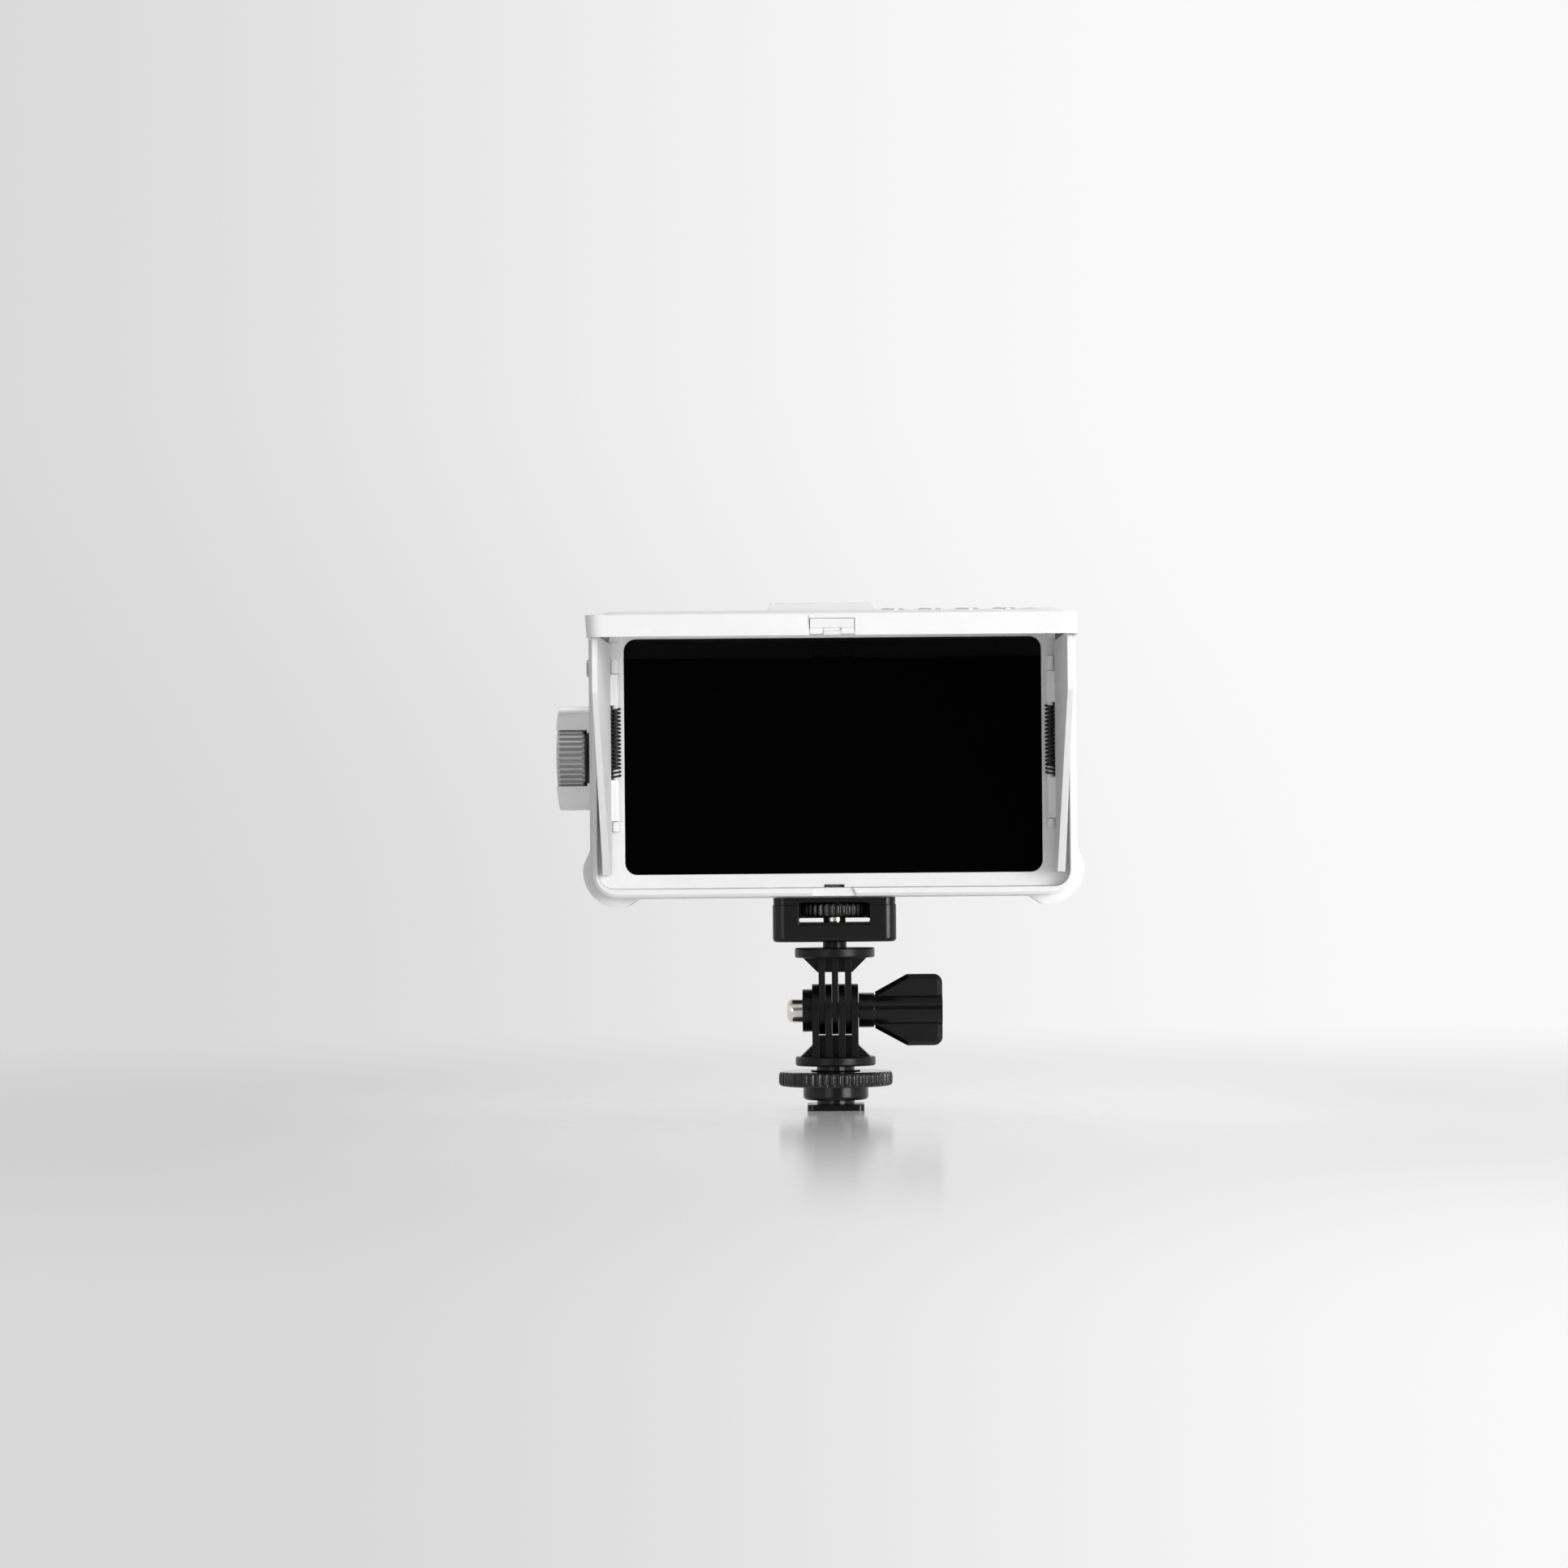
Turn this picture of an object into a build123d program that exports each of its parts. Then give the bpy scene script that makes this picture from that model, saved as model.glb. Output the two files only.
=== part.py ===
from build123d import *

import os
from math import pi, radians, sqrt, tan

# Camera field monitor with a folding sun hood, on a tilting cold-shoe mount.
# Millimetres. X runs to the viewer's right, -Y towards the viewer, Z up.
# The origin is the centre of the shoe foot's underside, on the mount's upright axis.

os.makedirs("parts", exist_ok=True)

# ---------------------------------------------------------------- clearances
RUN_GAP = 0.06  # radial play of a pin or shaft that turns
SEAT_GAP = 0.02  # radial play of a pin that stays put
SIDE_GAP = 0.15  # play between neighbours that slide or turn past each other
KEY_GAP = 0.2  # play around a push button

# ---------------------------------------------------------------- screen
SCREEN_W = 133.3  # opening of the bezel
SCREEN_H = 75.3
SCREEN_R = 3.9
BEZEL_Y = -14.0  # front face of the bezel
BEZEL_T = 2.0
GLASS_RECESS = 0.2
GLASS_T = 1.1
LCD_MARGIN_W = 3.15  # from the screen's opening to the panel
LCD_MARGIN_H = 1.85
LCD_T = 3.4
CHASSIS_MARGIN = 4.0  # from the corner screws to the plate's edges
CHASSIS_T = 1.2
BOARD_W = 112.0
BOARD_H = 62.0
BOARD_T = 1.6
BOARD_STAND = 3.0
BOARD_INSET = 4.0  # from the board's edges to its standoffs
BOARD_R = 2.0
STANDOFF_R = 2.2
CHIPS = (  # x, height from the middle, width, height and thickness
    (-30.0, 8.0, 16.0, 16.0, 1.6),
    (-4.0, -6.0, 12.0, 12.0, 1.4),
    (20.0, 10.0, 10.0, 14.0, 1.2),
    (14.0, -14.0, 8.0, 8.0, 2.0),
)

# ---------------------------------------------------------------- hood frame
RIM_STEP_SIDE = 1.4  # from the case's outside to the raised rim's
RIM_STEP_BOTTOM = 0.6
RIM_STEP_TOP = 0.8
RIM_R = 7.5
RIM_DEPTH = 7.6  # rim in front of the bezel face
RIM_T_BOTTOM = 2.8  # the rim's thickness at the bezel face
RIM_T_TOP = 2.1
RIM_T_SIDE = 1.65
RIM_INNER_R = 5.0
RIM_HINGE_R = 2.0  # the two inner corners beside the lid's hinge
RIM_DRAFT = 2.0  # degrees
RIM_EDGE = 0.9
SEAM_Y = -10.0  # where the frame meets the rear case
FRAME_WALL = 2.0
POST_OUT = 2.85  # from the opening's side out to the posts
POST_IN = 1.15  # from the opening's top and bottom in to the posts
POST_R = 2.3

# ---------------------------------------------------------------- hood lid
LID_DROP = 2.3  # from the rim's ceiling to the lid
LID_H = 6.7  # height of the tray's walls
LID_PANEL = 1.5
LID_WALL = 0.9
LID_SIDE_GAP = 0.55  # from the rim to the walls' free edge
LID_DRAFT = 4.2  # degrees
LID_REACH = 84.6  # from the bezel face to the front
LID_R = 4.5
LID_AXIS_Y = BEZEL_Y - 4.9
LID_AXIS_DROP = 2.7
LID_PIN_R = 0.9
LUG_INSET = 6.2
LUG_W = 2.8
LUG_R = 2.2
LID_SPRING_WIRE = 0.5
LID_SPRING_R = 1.45
LID_SPRING_TURNS = 3
LATCH_HALF_W = 6.7
LATCH_DROP = 1.7  # from the lid's top to the button
LATCH_PLATE_H = 2.75
LATCH_TAB_HALF_W = 2.6
LATCH_FLANGE = 1.9
LATCH_FLANGE_T = 0.9
LATCH_PROUD = 0.6
LATCH_LEG_LIFT = 0.4
LATCH_LIP_H = 1.5
DISH_START = -12.6
DISH_DEPTH = 0.6
DISH_R = 2.4
DISH_DROP = 0.2
CATCH_W = 6.5
CATCH_H = 0.8
CATCH_DEPTH = 2.9
SCOOP_HALF_W = 7.0
SCOOP_DEPTH = 1.3
SCOOP_H = 3.3

# ---------------------------------------------------------------- side flaps
FLAP_STANDOFF = 4.05  # from the hinge axis to the flap's outer face
FLAP_AXIS_Y = BEZEL_Y - 1.9
FLAP_TIP_GAP = 0.3  # from the middle to a folded flap's edge
FLAP_BACK_GAP = 1.2  # from the bezel face to the flap's rear edge
FLAP_T = 1.7  # at the front edge
FLAP_ROOT_T = 2.65  # at the hinge
FLAP_CORNER_R = 1.5
FLAP_INTO_LID = 1.1
FLAP_LIFT = 4.4  # from the rim's floor to the flap
FLAP_STRAIGHT_L = 17.6  # the upright part of the front edge
FLAP_FOOT_REACH = 10.5
FLAP_BARREL_R = 1.3
FLAP_PIN_R = 0.65
KNUCKLE_DROP = 4.7  # from the flap's top to the upper knuckle
KNUCKLE_L_HIGH = 4.6
BARREL_L_HIGH = 10.1
SPRING_L = 23.8
BARREL_L_LOW = 13.3
KNUCKLE_L_LOW = 3.1
FLAP_SPRING_R = 1.45
FLAP_SPRING_WIRE = 0.7
FLAP_SPRING_TURNS = 18.25  # whole turns and a quarter, for the upper leg
FLAP_SPRING_LEG = 1.2
FLAP_LEG_POCKET_R = 2.5
SPIGOT_R = 1.0  # ends of the flap's barrels inside the spring
SPIGOT_L_LOW = 3.7
SPIGOT_L_HIGH = 1.7

# ---------------------------------------------------------------- rear case
BORDER_SIDE = 11.35  # from the screen's opening to the case's outside
BORDER_TOP = 9.0
BORDER_BOTTOM = 7.7
CASE_BOTTOM = 68.4
CASE_BACK = 15.0
CASE_WALL = 2.0
CASE_R = 8.0
CASE_EDGE = 1.5
BUMPER_PROUD = 2.3  # beyond the case's side
BUMPER_DROP = 2.7  # below the case's underside
BUMPER_W = 13.5
BUMPER_H = 10.6
BUMPER_FADE_H = 5.0
BUMPER_SLOPE = 4.3
BUMPER_R = 11.5
BUMPER_ROUND = 4.0
BUMPER_SLOPE_R = 2.5
GUARD_R = 3.0
PAD_X = -3.7
PAD_HALF_W = 16.3
PAD_H = 2.5
PAD_FLARE = 4.2
PAD_FRONT = -6.0
PAD_BACK = 12.0
CASE_BOSS_R = 4.2
SCREW_R = 1.25
SCREW_HEAD_R = 2.4
SCREW_HEAD_H = 2.0
SCREW_SINK = 11.0
SCREW_BITE = 2.4
VENT_COUNT = 7
VENT_W = 1.6
VENT_L = 26.0
VENT_PITCH = 3.6
VENT_X = 44.0
VENT_DZ = 4.25  # from the screen's middle, as are the next ones that end in DZ

# ---------------------------------------------------------------- keys and dial
KEY_X0 = 19.5
KEY_PITCH = 12.0
KEY_R = 3.7
KEY_PROUD = 0.9
KEY_Y = 2.0
KEY_LIP = 0.9
KEY_LIP_W = 6.0
KEY_LIP_T = 1.0
KEY_STROKE = 0.4
KEY_BOARD_T = 1.2
KEY_DOME_H = 0.8
POWER_R = 5.9
POWER_INSET = 11.6
POWER_PROUD = 0.6
SIDE_KEY_DROP = 17.6
SIDE_KEY_R = 2.85
SIDE_KEY_PROUD = 1.2
DIAL_Y = 2.0
DIAL_DZ = -0.05
DIAL_R = 13.3
DIAL_RIBS = 47
DIAL_RIB_DEPTH = 0.55
DIAL_STANDOFF = 1.5  # from the case's side to the dial
DIAL_W = 9.6
DIAL_DOME_R = 95.0
DIAL_EDGE = 0.7
GUARD_FRONT = -8.6
GUARD_BACK = 12.6
GUARD_HALF_H = 16.6
GUARD_GAP = 0.6
DIAL_BASE_T = 0.8
ENCODER_SIZE = 12.0
ENCODER_T = 6.0
ENCODER_SHAFT_R = 3.0

# ---------------------------------------------------------------- sockets and battery plate
SOCKET_DEPTH = 11.0
SOCKET_GAP = 0.3
HDMI_W = 14.6
HDMI_H = 5.2
HDMI_DZ = 14.25
USB_W = 9.2
USB_H = 3.4
USB_DZ = -1.75
POWER_SOCKET_R = 3.6
POWER_PIN_R = 1.0
POWER_SOCKET_DZ = -14.75
JACK_R = 3.2
JACK_BORE_R = 1.8
JACK_DZ = -25.75
SHELL_T = 0.5
TONGUE_T = 0.6
SOCKET_BACK = 1.0  # solid back of a socket
PLATE_HALF_W = 20.4
PLATE_H = 70.0
PLATE_DZ = 0.25
PLATE_T = 3.2
PLATE_R = 3.0
RAIL_T = 3.4
RAIL_W = 4.4
RAIL_LIP = 1.6
RAIL_LIP_T = 1.4
RAIL_L = 12.0
RAIL_HIGH_DZ = 20.25
RAIL_LOW_DZ = -9.75
CONTACT_PITCH = 6.5
CONTACT_W = 1.2
CONTACT_L = 9.0
CONTACT_H = 2.6
CONTACT_DZ = -21.75
RELEASE_W = 10.0
RELEASE_L = 14.0
RELEASE_DZ = 29.25
RELEASE_PROUD = 1.4
RELEASE_STROKE = 1.0
PLATE_SCREW_X = 15.0
PLATE_SCREW_DZ = 22.0

# ---------------------------------------------------------------- quarter-inch threads
THREAD_R = 3.175
INSERT_R = 4.6
TOP_INSERT_L = 7.0
BASE_INSERT_L = 7.4
INSERT_COLLAR = 2.4

# ---------------------------------------------------------------- mount box
BOX_HALF_W = 19.8
BOX_HALF_D = 12.5
BOX_H = 14.2
BOX_LID_H = 2.4
BOX_R = 4.0
BOX_EDGE = 1.2
BOX_WALL = 2.2
BOX_FLOOR = 2.4
WINDOW_HALF_W = 11.5
WINDOW_SILL = 5.4  # from the box's underside
WINDOW_GAP = 0.35  # over the wheel
WINDOW_R = 0.9
BACK_SLOT_H = 1.2
LIP_INSET = 0.25
PAD_T = 0.8
PAD_MARGIN = 2.6
WHEEL_R = 10.75
WHEEL_T = 4.4
WHEEL_RIBS = 32
WHEEL_RIB_R = 0.55
WHEEL_EDGE = 0.5
SCREW_COLLAR_R = 3.65
SCREW_POINT = 0.6
SCREW_COLLAR_L = 1.78
SHELF_RISE = 0.8  # above the window's sill
SHELF_T = 1.2
SCREW_BITE_L = 6.0
NECK_R = 3.8
NECK_H = 2.0
SWIVEL_R = 2.0
SWIVEL_HEAD_R = 4.2
SWIVEL_HEAD_H = 1.6

# ---------------------------------------------------------------- tilting arm and fork
PIVOT_Z = 32.0
PRONG_PITCH = 4.24
ARM_PRONG_T = 2.07
FORK_PRONG_T = 2.1
ARM_END_R = 7.7
FORK_END_R = 8.5
ARM_DISC_R = 12.85
ARM_DISC_T = 3.2
ARM_FILL_RISE = 12.4  # from the pivot
GUSSET_TOP_HALF = 10.2
GUSSET_LOW_HALF = 5.6
FILL_HALF_DEPTH = 5.5  # the fill between the prongs stands back from their edges
FORK_DISC_R = 12.9
FORK_DISC_DROP = 14.8  # from the pivot
FORK_DISC_T = 2.9
FORK_GUSSET_H = 3.7
FORK_GUSSET_HALF = 11.2
DISC_EDGE = 0.6
PIVOT_R = 2.5
NUT_BOSS_R = 6.85
NUT_BOSS_X = -10.5
NUT_HEX = 8.0
NUT_HEX_L = 3.2
NUT_DOME_R = 3.9
NUT_TIP_X = -15.4
KNOB_COLLAR_R = 5.6
KNOB_COLLAR_X = 12.5
KNOB_GROOVE = 0.35
KNOB_END_X = 34.5
KNOB_END_R = 2.8
KNOB_HALF_H = 11.5
KNOB_WAIST = 5.9
KNOB_SHOULDER_X = 23.1
KNOB_T = 4.2
KNOB_BEVEL = 1.4
KNOB_HUB_R = 5.0
BOLT_IN_KNOB = 12.0

# ---------------------------------------------------------------- shoe
FOOT_W = 18.3
FOOT_T = 2.0
FOOT_R = 2.0
FOOT_EDGE = 0.25
STEM_R = 6.1
STEM_SEAT = 2.0
COLLAR_R = 10.5
COLLAR_BOTTOM = 3.3
COLLAR_H = 4.4
COLLAR_EDGE = 1.2
LOCK_R = 18.35
LOCK_T = 5.2
LOCK_RIBS = 48
LOCK_RIB_R = 0.6
LOCK_EDGE = 1.5
LOCK_RING_R = 8.0
LOCK_RING_H = 0.4

# ---------------------------------------------------------------- places worked out from these
SCREEN_Z = CASE_BOTTOM + BORDER_BOTTOM + SCREEN_H / 2
CASE_HALF_W = SCREEN_W / 2 + BORDER_SIDE
CASE_TOP = SCREEN_Z + SCREEN_H / 2 + BORDER_TOP
LCD_W = SCREEN_W - 2 * LCD_MARGIN_W
LCD_H = SCREEN_H - 2 * LCD_MARGIN_H
POST_X = SCREEN_W / 2 + POST_OUT
POST_DZ = SCREEN_H / 2 - POST_IN
GLASS_FRONT = BEZEL_Y + GLASS_RECESS
GLASS_BACK = GLASS_FRONT + GLASS_T
LCD_BACK = GLASS_BACK + LCD_T
CHASSIS_BACK = LCD_BACK + CHASSIS_T
BOARD_FRONT = CHASSIS_BACK + BOARD_STAND
BOARD_BACK = BOARD_FRONT + BOARD_T
RIM_FRONT = BEZEL_Y - RIM_DEPTH
RIM_HALF_W = CASE_HALF_W - RIM_STEP_SIDE
RIM_BOTTOM = CASE_BOTTOM + RIM_STEP_BOTTOM
RIM_TOP = CASE_TOP - RIM_STEP_TOP
RIM_FLOOR = RIM_BOTTOM + RIM_T_BOTTOM
RIM_CEILING = RIM_TOP - RIM_T_TOP
RIM_INNER_HALF_W = RIM_HALF_W - RIM_T_SIDE
CHASSIS_W = 2 * (POST_X + CHASSIS_MARGIN)
CHASSIS_H = 2 * (POST_DZ + CHASSIS_MARGIN)
LID_TOP = RIM_CEILING - LID_DROP
LID_HALF_W = RIM_INNER_HALF_W - LID_SIDE_GAP
LID_AXIS_Z = LID_TOP - LID_AXIS_DROP
LUG_X = LID_HALF_W - LUG_INSET
LID_BOTTOM = LID_TOP - LID_H
LID_UNDER = LID_TOP - LID_PANEL
LID_FRONT = BEZEL_Y - LID_REACH
LID_LEAN = LID_H * tan(radians(LID_DRAFT))  # the walls' free edge stands back by this
LID_WALL_FRONT = LID_FRONT + LID_LEAN
LATCH_TOP = LID_TOP - LATCH_DROP
LATCH_STEP = LATCH_TOP - LATCH_PLATE_H
LATCH_LEG_BOTTOM = LID_BOTTOM + LATCH_LEG_LIFT
DISH_Z = LATCH_TOP - DISH_DROP
FLAP_OUTER_X = LID_HALF_W - LID_WALL - SIDE_GAP
FLAP_AXIS_X = FLAP_OUTER_X - FLAP_STANDOFF
FLAP_FRONT = FLAP_AXIS_Y - FLAP_AXIS_X + FLAP_TIP_GAP
FLAP_TOP = LID_BOTTOM + FLAP_INTO_LID
FLAP_BOTTOM = RIM_FLOOR + FLAP_LIFT
FLAP_STRAIGHT = FLAP_TOP - FLAP_STRAIGHT_L
KNUCKLE_TOP = FLAP_TOP - KNUCKLE_DROP
BARREL_TOP = KNUCKLE_TOP - KNUCKLE_L_HIGH
SPRING_TOP = BARREL_TOP - BARREL_L_HIGH
SPRING_BOTTOM = SPRING_TOP - SPRING_L
BARREL_BOTTOM = SPRING_BOTTOM - BARREL_L_LOW
KNUCKLE_BOTTOM = BARREL_BOTTOM - KNUCKLE_L_LOW
FLAP_ROOT_X = FLAP_OUTER_X - FLAP_ROOT_T
FLAP_SPRING_LOW = SPRING_BOTTOM + FLAP_SPRING_WIRE / 2 + SIDE_GAP
FLAP_SPRING_HIGH = SPRING_TOP - FLAP_SPRING_WIRE / 2 - SIDE_GAP
CASE_MID_Z = (CASE_TOP + CASE_BOTTOM) / 2
CASE_INNER_BACK = CASE_BACK - CASE_WALL
CASE_INNER_TOP = CASE_TOP - CASE_WALL
BUMPER_HALF_W = CASE_HALF_W + BUMPER_PROUD
BUMPER_BOTTOM = CASE_BOTTOM - BUMPER_DROP
BUMPER_TOP = CASE_BOTTOM + BUMPER_H
BUMPER_FADE = BUMPER_TOP + BUMPER_FADE_H
BUMPER_INNER_X = BUMPER_HALF_W - BUMPER_W
PAD_TOP = CASE_TOP + PAD_H
KEY_TOP = CASE_TOP + KEY_PROUD
POWER_TOP = CASE_TOP + POWER_PROUD
POWER_X = CASE_HALF_W - POWER_INSET
SIDE_KEY_Z = CASE_TOP - SIDE_KEY_DROP
DIAL_Z = SCREEN_Z + DIAL_DZ
DIAL_IN = CASE_HALF_W + DIAL_STANDOFF
DIAL_OUT = DIAL_IN + DIAL_W
GUARD_TOP = DIAL_Z + GUARD_HALF_H
GUARD_BOTTOM = DIAL_Z - GUARD_HALF_H
VENT_Z = SCREEN_Z + VENT_DZ
HDMI_Z = SCREEN_Z + HDMI_DZ
USB_Z = SCREEN_Z + USB_DZ
POWER_SOCKET_Z = SCREEN_Z + POWER_SOCKET_DZ
JACK_Z = SCREEN_Z + JACK_DZ
PLATE_Z = SCREEN_Z + PLATE_DZ
RAIL_HIGH = SCREEN_Z + RAIL_HIGH_DZ
RAIL_LOW = SCREEN_Z + RAIL_LOW_DZ
CONTACT_Z = SCREEN_Z + CONTACT_DZ
RELEASE_Z = SCREEN_Z + RELEASE_DZ
BOX_TOP = CASE_BOTTOM
BOX_SEAM = BOX_TOP - BOX_LID_H
BOX_BOTTOM = BOX_TOP - BOX_H
WINDOW_BOTTOM = BOX_BOTTOM + WINDOW_SILL
SHELF_TOP = WINDOW_BOTTOM + SHELF_RISE
SCREW_COLLAR_BOTTOM = SHELF_TOP + SEAT_GAP
WHEEL_BOTTOM = SCREW_COLLAR_BOTTOM + SCREW_COLLAR_L
WHEEL_TOP = WHEEL_BOTTOM + WHEEL_T
WHEEL_POCKET_R = WHEEL_R + SIDE_GAP
WINDOW_TOP = WHEEL_TOP + WINDOW_GAP
ARM_DISC_TOP = BOX_BOTTOM - NECK_H
ARM_FILL = PIVOT_Z + ARM_FILL_RISE
ARM_DISC_BOTTOM = ARM_DISC_TOP - ARM_DISC_T
FORK_DISC_TOP = PIVOT_Z - FORK_DISC_DROP
FORK_FILL = PIVOT_Z - ARM_END_R - 2 * SIDE_GAP
FORK_GUSSET_TOP = FORK_DISC_TOP + FORK_GUSSET_H
FORK_DISC_BOTTOM = FORK_DISC_TOP - FORK_DISC_T
FORK_FACE_X = 1.5 * PRONG_PITCH + FORK_PRONG_T / 2
COLLAR_TOP = COLLAR_BOTTOM + COLLAR_H
LOCK_TOP = COLLAR_TOP + LOCK_T
SIDES = {"left": -1, "right": 1}
FAR = 200.0  # longer than anything here, for cuts that go right through


def front_plane(y):
    """Upright plane at depth y: its X is the model's X, its Y the model's Z, its normal -Y."""
    return Plane.XZ.offset(-y)


def side_plane(x):
    """Upright plane at x: its X is the model's Y, its Y the model's Z, its normal +X."""
    return Plane.YZ.offset(x)


def finish(piece, name):
    """Label a finished piece and write it as its own file."""
    piece.part.label = name
    export_step(piece.part, f"parts/{name}.step")


def ribbed_disc(radius, ribs, rib_r, bore_r):
    """A ring's outline with round grooves around its edge."""
    with BuildSketch() as outline:
        Circle(radius)
        with PolarLocations(radius, ribs):
            Circle(rib_r, mode=Mode.SUBTRACT)
        Circle(bore_r, mode=Mode.SUBTRACT)
    return outline.sketch


def coil(axis_start, direction, radius, wire, turns, length, legs):
    """A round-wire spring: a helix along an axis, with straight legs as (start, end) points."""
    rise = Plane(origin=axis_start, x_dir=(0, 1, 0), z_dir=direction)
    pitch = length / turns
    path = rise.from_local_coords(Helix(pitch, length, radius))
    with BuildPart() as spring:
        with BuildSketch(Plane(origin=path @ 0, z_dir=path % 0)):
            Circle(wire / 2)
        sweep(path=path, is_frenet=True)
        for start, end in legs:
            run = Line(start, end)
            with BuildSketch(Plane(origin=run @ 0, z_dir=run % 0)):
                Circle(wire / 2)
            extrude(amount=run.length)
    return spring.part


# ================================================================ front
def cover_glass():
    with BuildPart() as glass:
        with BuildSketch(front_plane(GLASS_BACK)):
            with Locations((0, SCREEN_Z)):
                RectangleRounded(
                    SCREEN_W - 2 * SIDE_GAP, SCREEN_H - 2 * SIDE_GAP, SCREEN_R - SIDE_GAP
                )
        extrude(amount=GLASS_T)
    finish(glass, "cover_glass")


def lcd_panel():
    with BuildPart() as panel:
        with BuildSketch(front_plane(LCD_BACK)):
            with Locations((0, SCREEN_Z)):
                Rectangle(LCD_W, LCD_H)
        extrude(amount=LCD_T)
    finish(panel, "lcd_panel")


def chassis_plate():
    with BuildPart() as plate:
        with BuildSketch(front_plane(CHASSIS_BACK)):
            with Locations((0, SCREEN_Z)):
                RectangleRounded(CHASSIS_W, CHASSIS_H, SCREEN_R)
                with GridLocations(2 * POST_X, 2 * POST_DZ, 2, 2):
                    Circle(SCREW_R + SIDE_GAP, mode=Mode.SUBTRACT)
        extrude(amount=CHASSIS_T)
        with BuildSketch(front_plane(BOARD_FRONT)):
            with Locations((0, SCREEN_Z)):
                with GridLocations(BOARD_W - 2 * BOARD_INSET, BOARD_H - 2 * BOARD_INSET, 2, 2):
                    Circle(STANDOFF_R)
        extrude(amount=BOARD_STAND)
    finish(plate, "chassis_plate")


def main_board():
    with BuildPart() as board:
        with BuildSketch(front_plane(BOARD_BACK)):
            with Locations((0, SCREEN_Z)):
                RectangleRounded(BOARD_W, BOARD_H, BOARD_R)
        extrude(amount=BOARD_T)
        for x, dz, width, height, thick in CHIPS:
            with BuildSketch(front_plane(BOARD_BACK)):
                with Locations((x, SCREEN_Z + dz)):
                    Rectangle(width, height)
            extrude(amount=-thick)
    finish(board, "main_board")


def hood_frame():
    mid = (RIM_TOP + RIM_BOTTOM) / 2
    inner_mid = (RIM_CEILING + RIM_FLOOR) / 2
    with BuildPart() as frame:
        with BuildSketch(front_plane(SEAM_Y)):
            with Locations((0, mid)):
                RectangleRounded(2 * RIM_HALF_W, RIM_TOP - RIM_BOTTOM, RIM_R)
        extrude(amount=SEAM_Y - RIM_FRONT)
        front_edges = frame.faces().sort_by(Axis.Y)[0].edges()
        chamfer(front_edges, RIM_EDGE)
        # the recess that the closed lid nests in
        with BuildSketch(front_plane(BEZEL_Y)) as recess:
            with Locations((0, inner_mid)):
                Rectangle(2 * RIM_INNER_HALF_W, RIM_CEILING - RIM_FLOOR)
            fillet(recess.vertices().group_by(Axis.Y)[0], RIM_INNER_R)
            fillet(recess.vertices().group_by(Axis.Y)[-1], RIM_HINGE_R)
        extrude(amount=RIM_DEPTH, taper=-RIM_DRAFT, mode=Mode.SUBTRACT)
        # the hollow behind the bezel
        with BuildSketch(front_plane(SEAM_Y)):
            with Locations((0, mid)):
                RectangleRounded(
                    2 * (RIM_HALF_W - FRAME_WALL),
                    RIM_TOP - RIM_BOTTOM - 2 * FRAME_WALL,
                    RIM_R - FRAME_WALL,
                )
        extrude(amount=SEAM_Y - BEZEL_Y - BEZEL_T, mode=Mode.SUBTRACT)
        with BuildSketch(front_plane(SEAM_Y)):
            with Locations((0, SCREEN_Z)):
                RectangleRounded(SCREEN_W, SCREEN_H, SCREEN_R)
        extrude(amount=FAR, mode=Mode.SUBTRACT)
        # posts that the case screws bite into
        with BuildSketch(front_plane(LCD_BACK)):
            with Locations((0, SCREEN_Z)):
                with GridLocations(2 * POST_X, 2 * POST_DZ, 2, 2):
                    Circle(POST_R)
        extrude(amount=LCD_BACK - BEZEL_Y - BEZEL_T / 2)
        with BuildSketch(front_plane(LCD_BACK)):
            with Locations((0, SCREEN_Z)):
                with GridLocations(2 * POST_X, 2 * POST_DZ, 2, 2):
                    Circle(SCREW_R + SEAT_GAP)
        extrude(amount=SCREW_BITE + SIDE_GAP, mode=Mode.SUBTRACT)
        # knuckles of the side flaps' hinges
        for side in SIDES.values():
            for low, high in ((BARREL_TOP, KNUCKLE_TOP), (KNUCKLE_BOTTOM, BARREL_BOTTOM)):
                with BuildSketch(Plane.XY.offset(low)):
                    with Locations((side * FLAP_AXIS_X, FLAP_AXIS_Y)):
                        Circle(FLAP_BARREL_R)
                        Rectangle(
                            2 * FLAP_BARREL_R,
                            BEZEL_Y - FLAP_AXIS_Y + BEZEL_T / 2,
                            align=(Align.CENTER, Align.MIN),
                        )
                        Circle(FLAP_PIN_R + SEAT_GAP, mode=Mode.SUBTRACT)
                extrude(amount=high - low)
        # lugs of the lid's hinge
        for side in SIDES.values():
            with BuildSketch(side_plane(side * (LUG_X + LUG_W / 2))):
                with Locations((LID_AXIS_Y, LID_AXIS_Z)):
                    Circle(LUG_R)
                    Rectangle(
                        BEZEL_Y - LID_AXIS_Y + BEZEL_T / 2,
                        2 * LUG_R,
                        align=(Align.MIN, Align.CENTER),
                    )
                    Circle(LID_PIN_R + SEAT_GAP, mode=Mode.SUBTRACT)
            extrude(amount=LUG_W / 2, both=True)
        # slot and floor recess that the latch hooks into
        with BuildSketch(front_plane(BEZEL_Y + BEZEL_T)):
            with Locations((0, RIM_FLOOR)):
                Rectangle(CATCH_W, 2 * CATCH_H)
        extrude(amount=CATCH_DEPTH + BEZEL_T, mode=Mode.SUBTRACT)
        # finger scoop in the lower rim
        with BuildSketch(front_plane(RIM_FRONT + SCOOP_DEPTH)):
            with Locations((0, RIM_BOTTOM)):
                SlotOverall(2 * SCOOP_HALF_W, 2 * SCOOP_H)
        extrude(amount=SCOOP_DEPTH, mode=Mode.SUBTRACT)
    finish(frame, "hood_frame")


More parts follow.
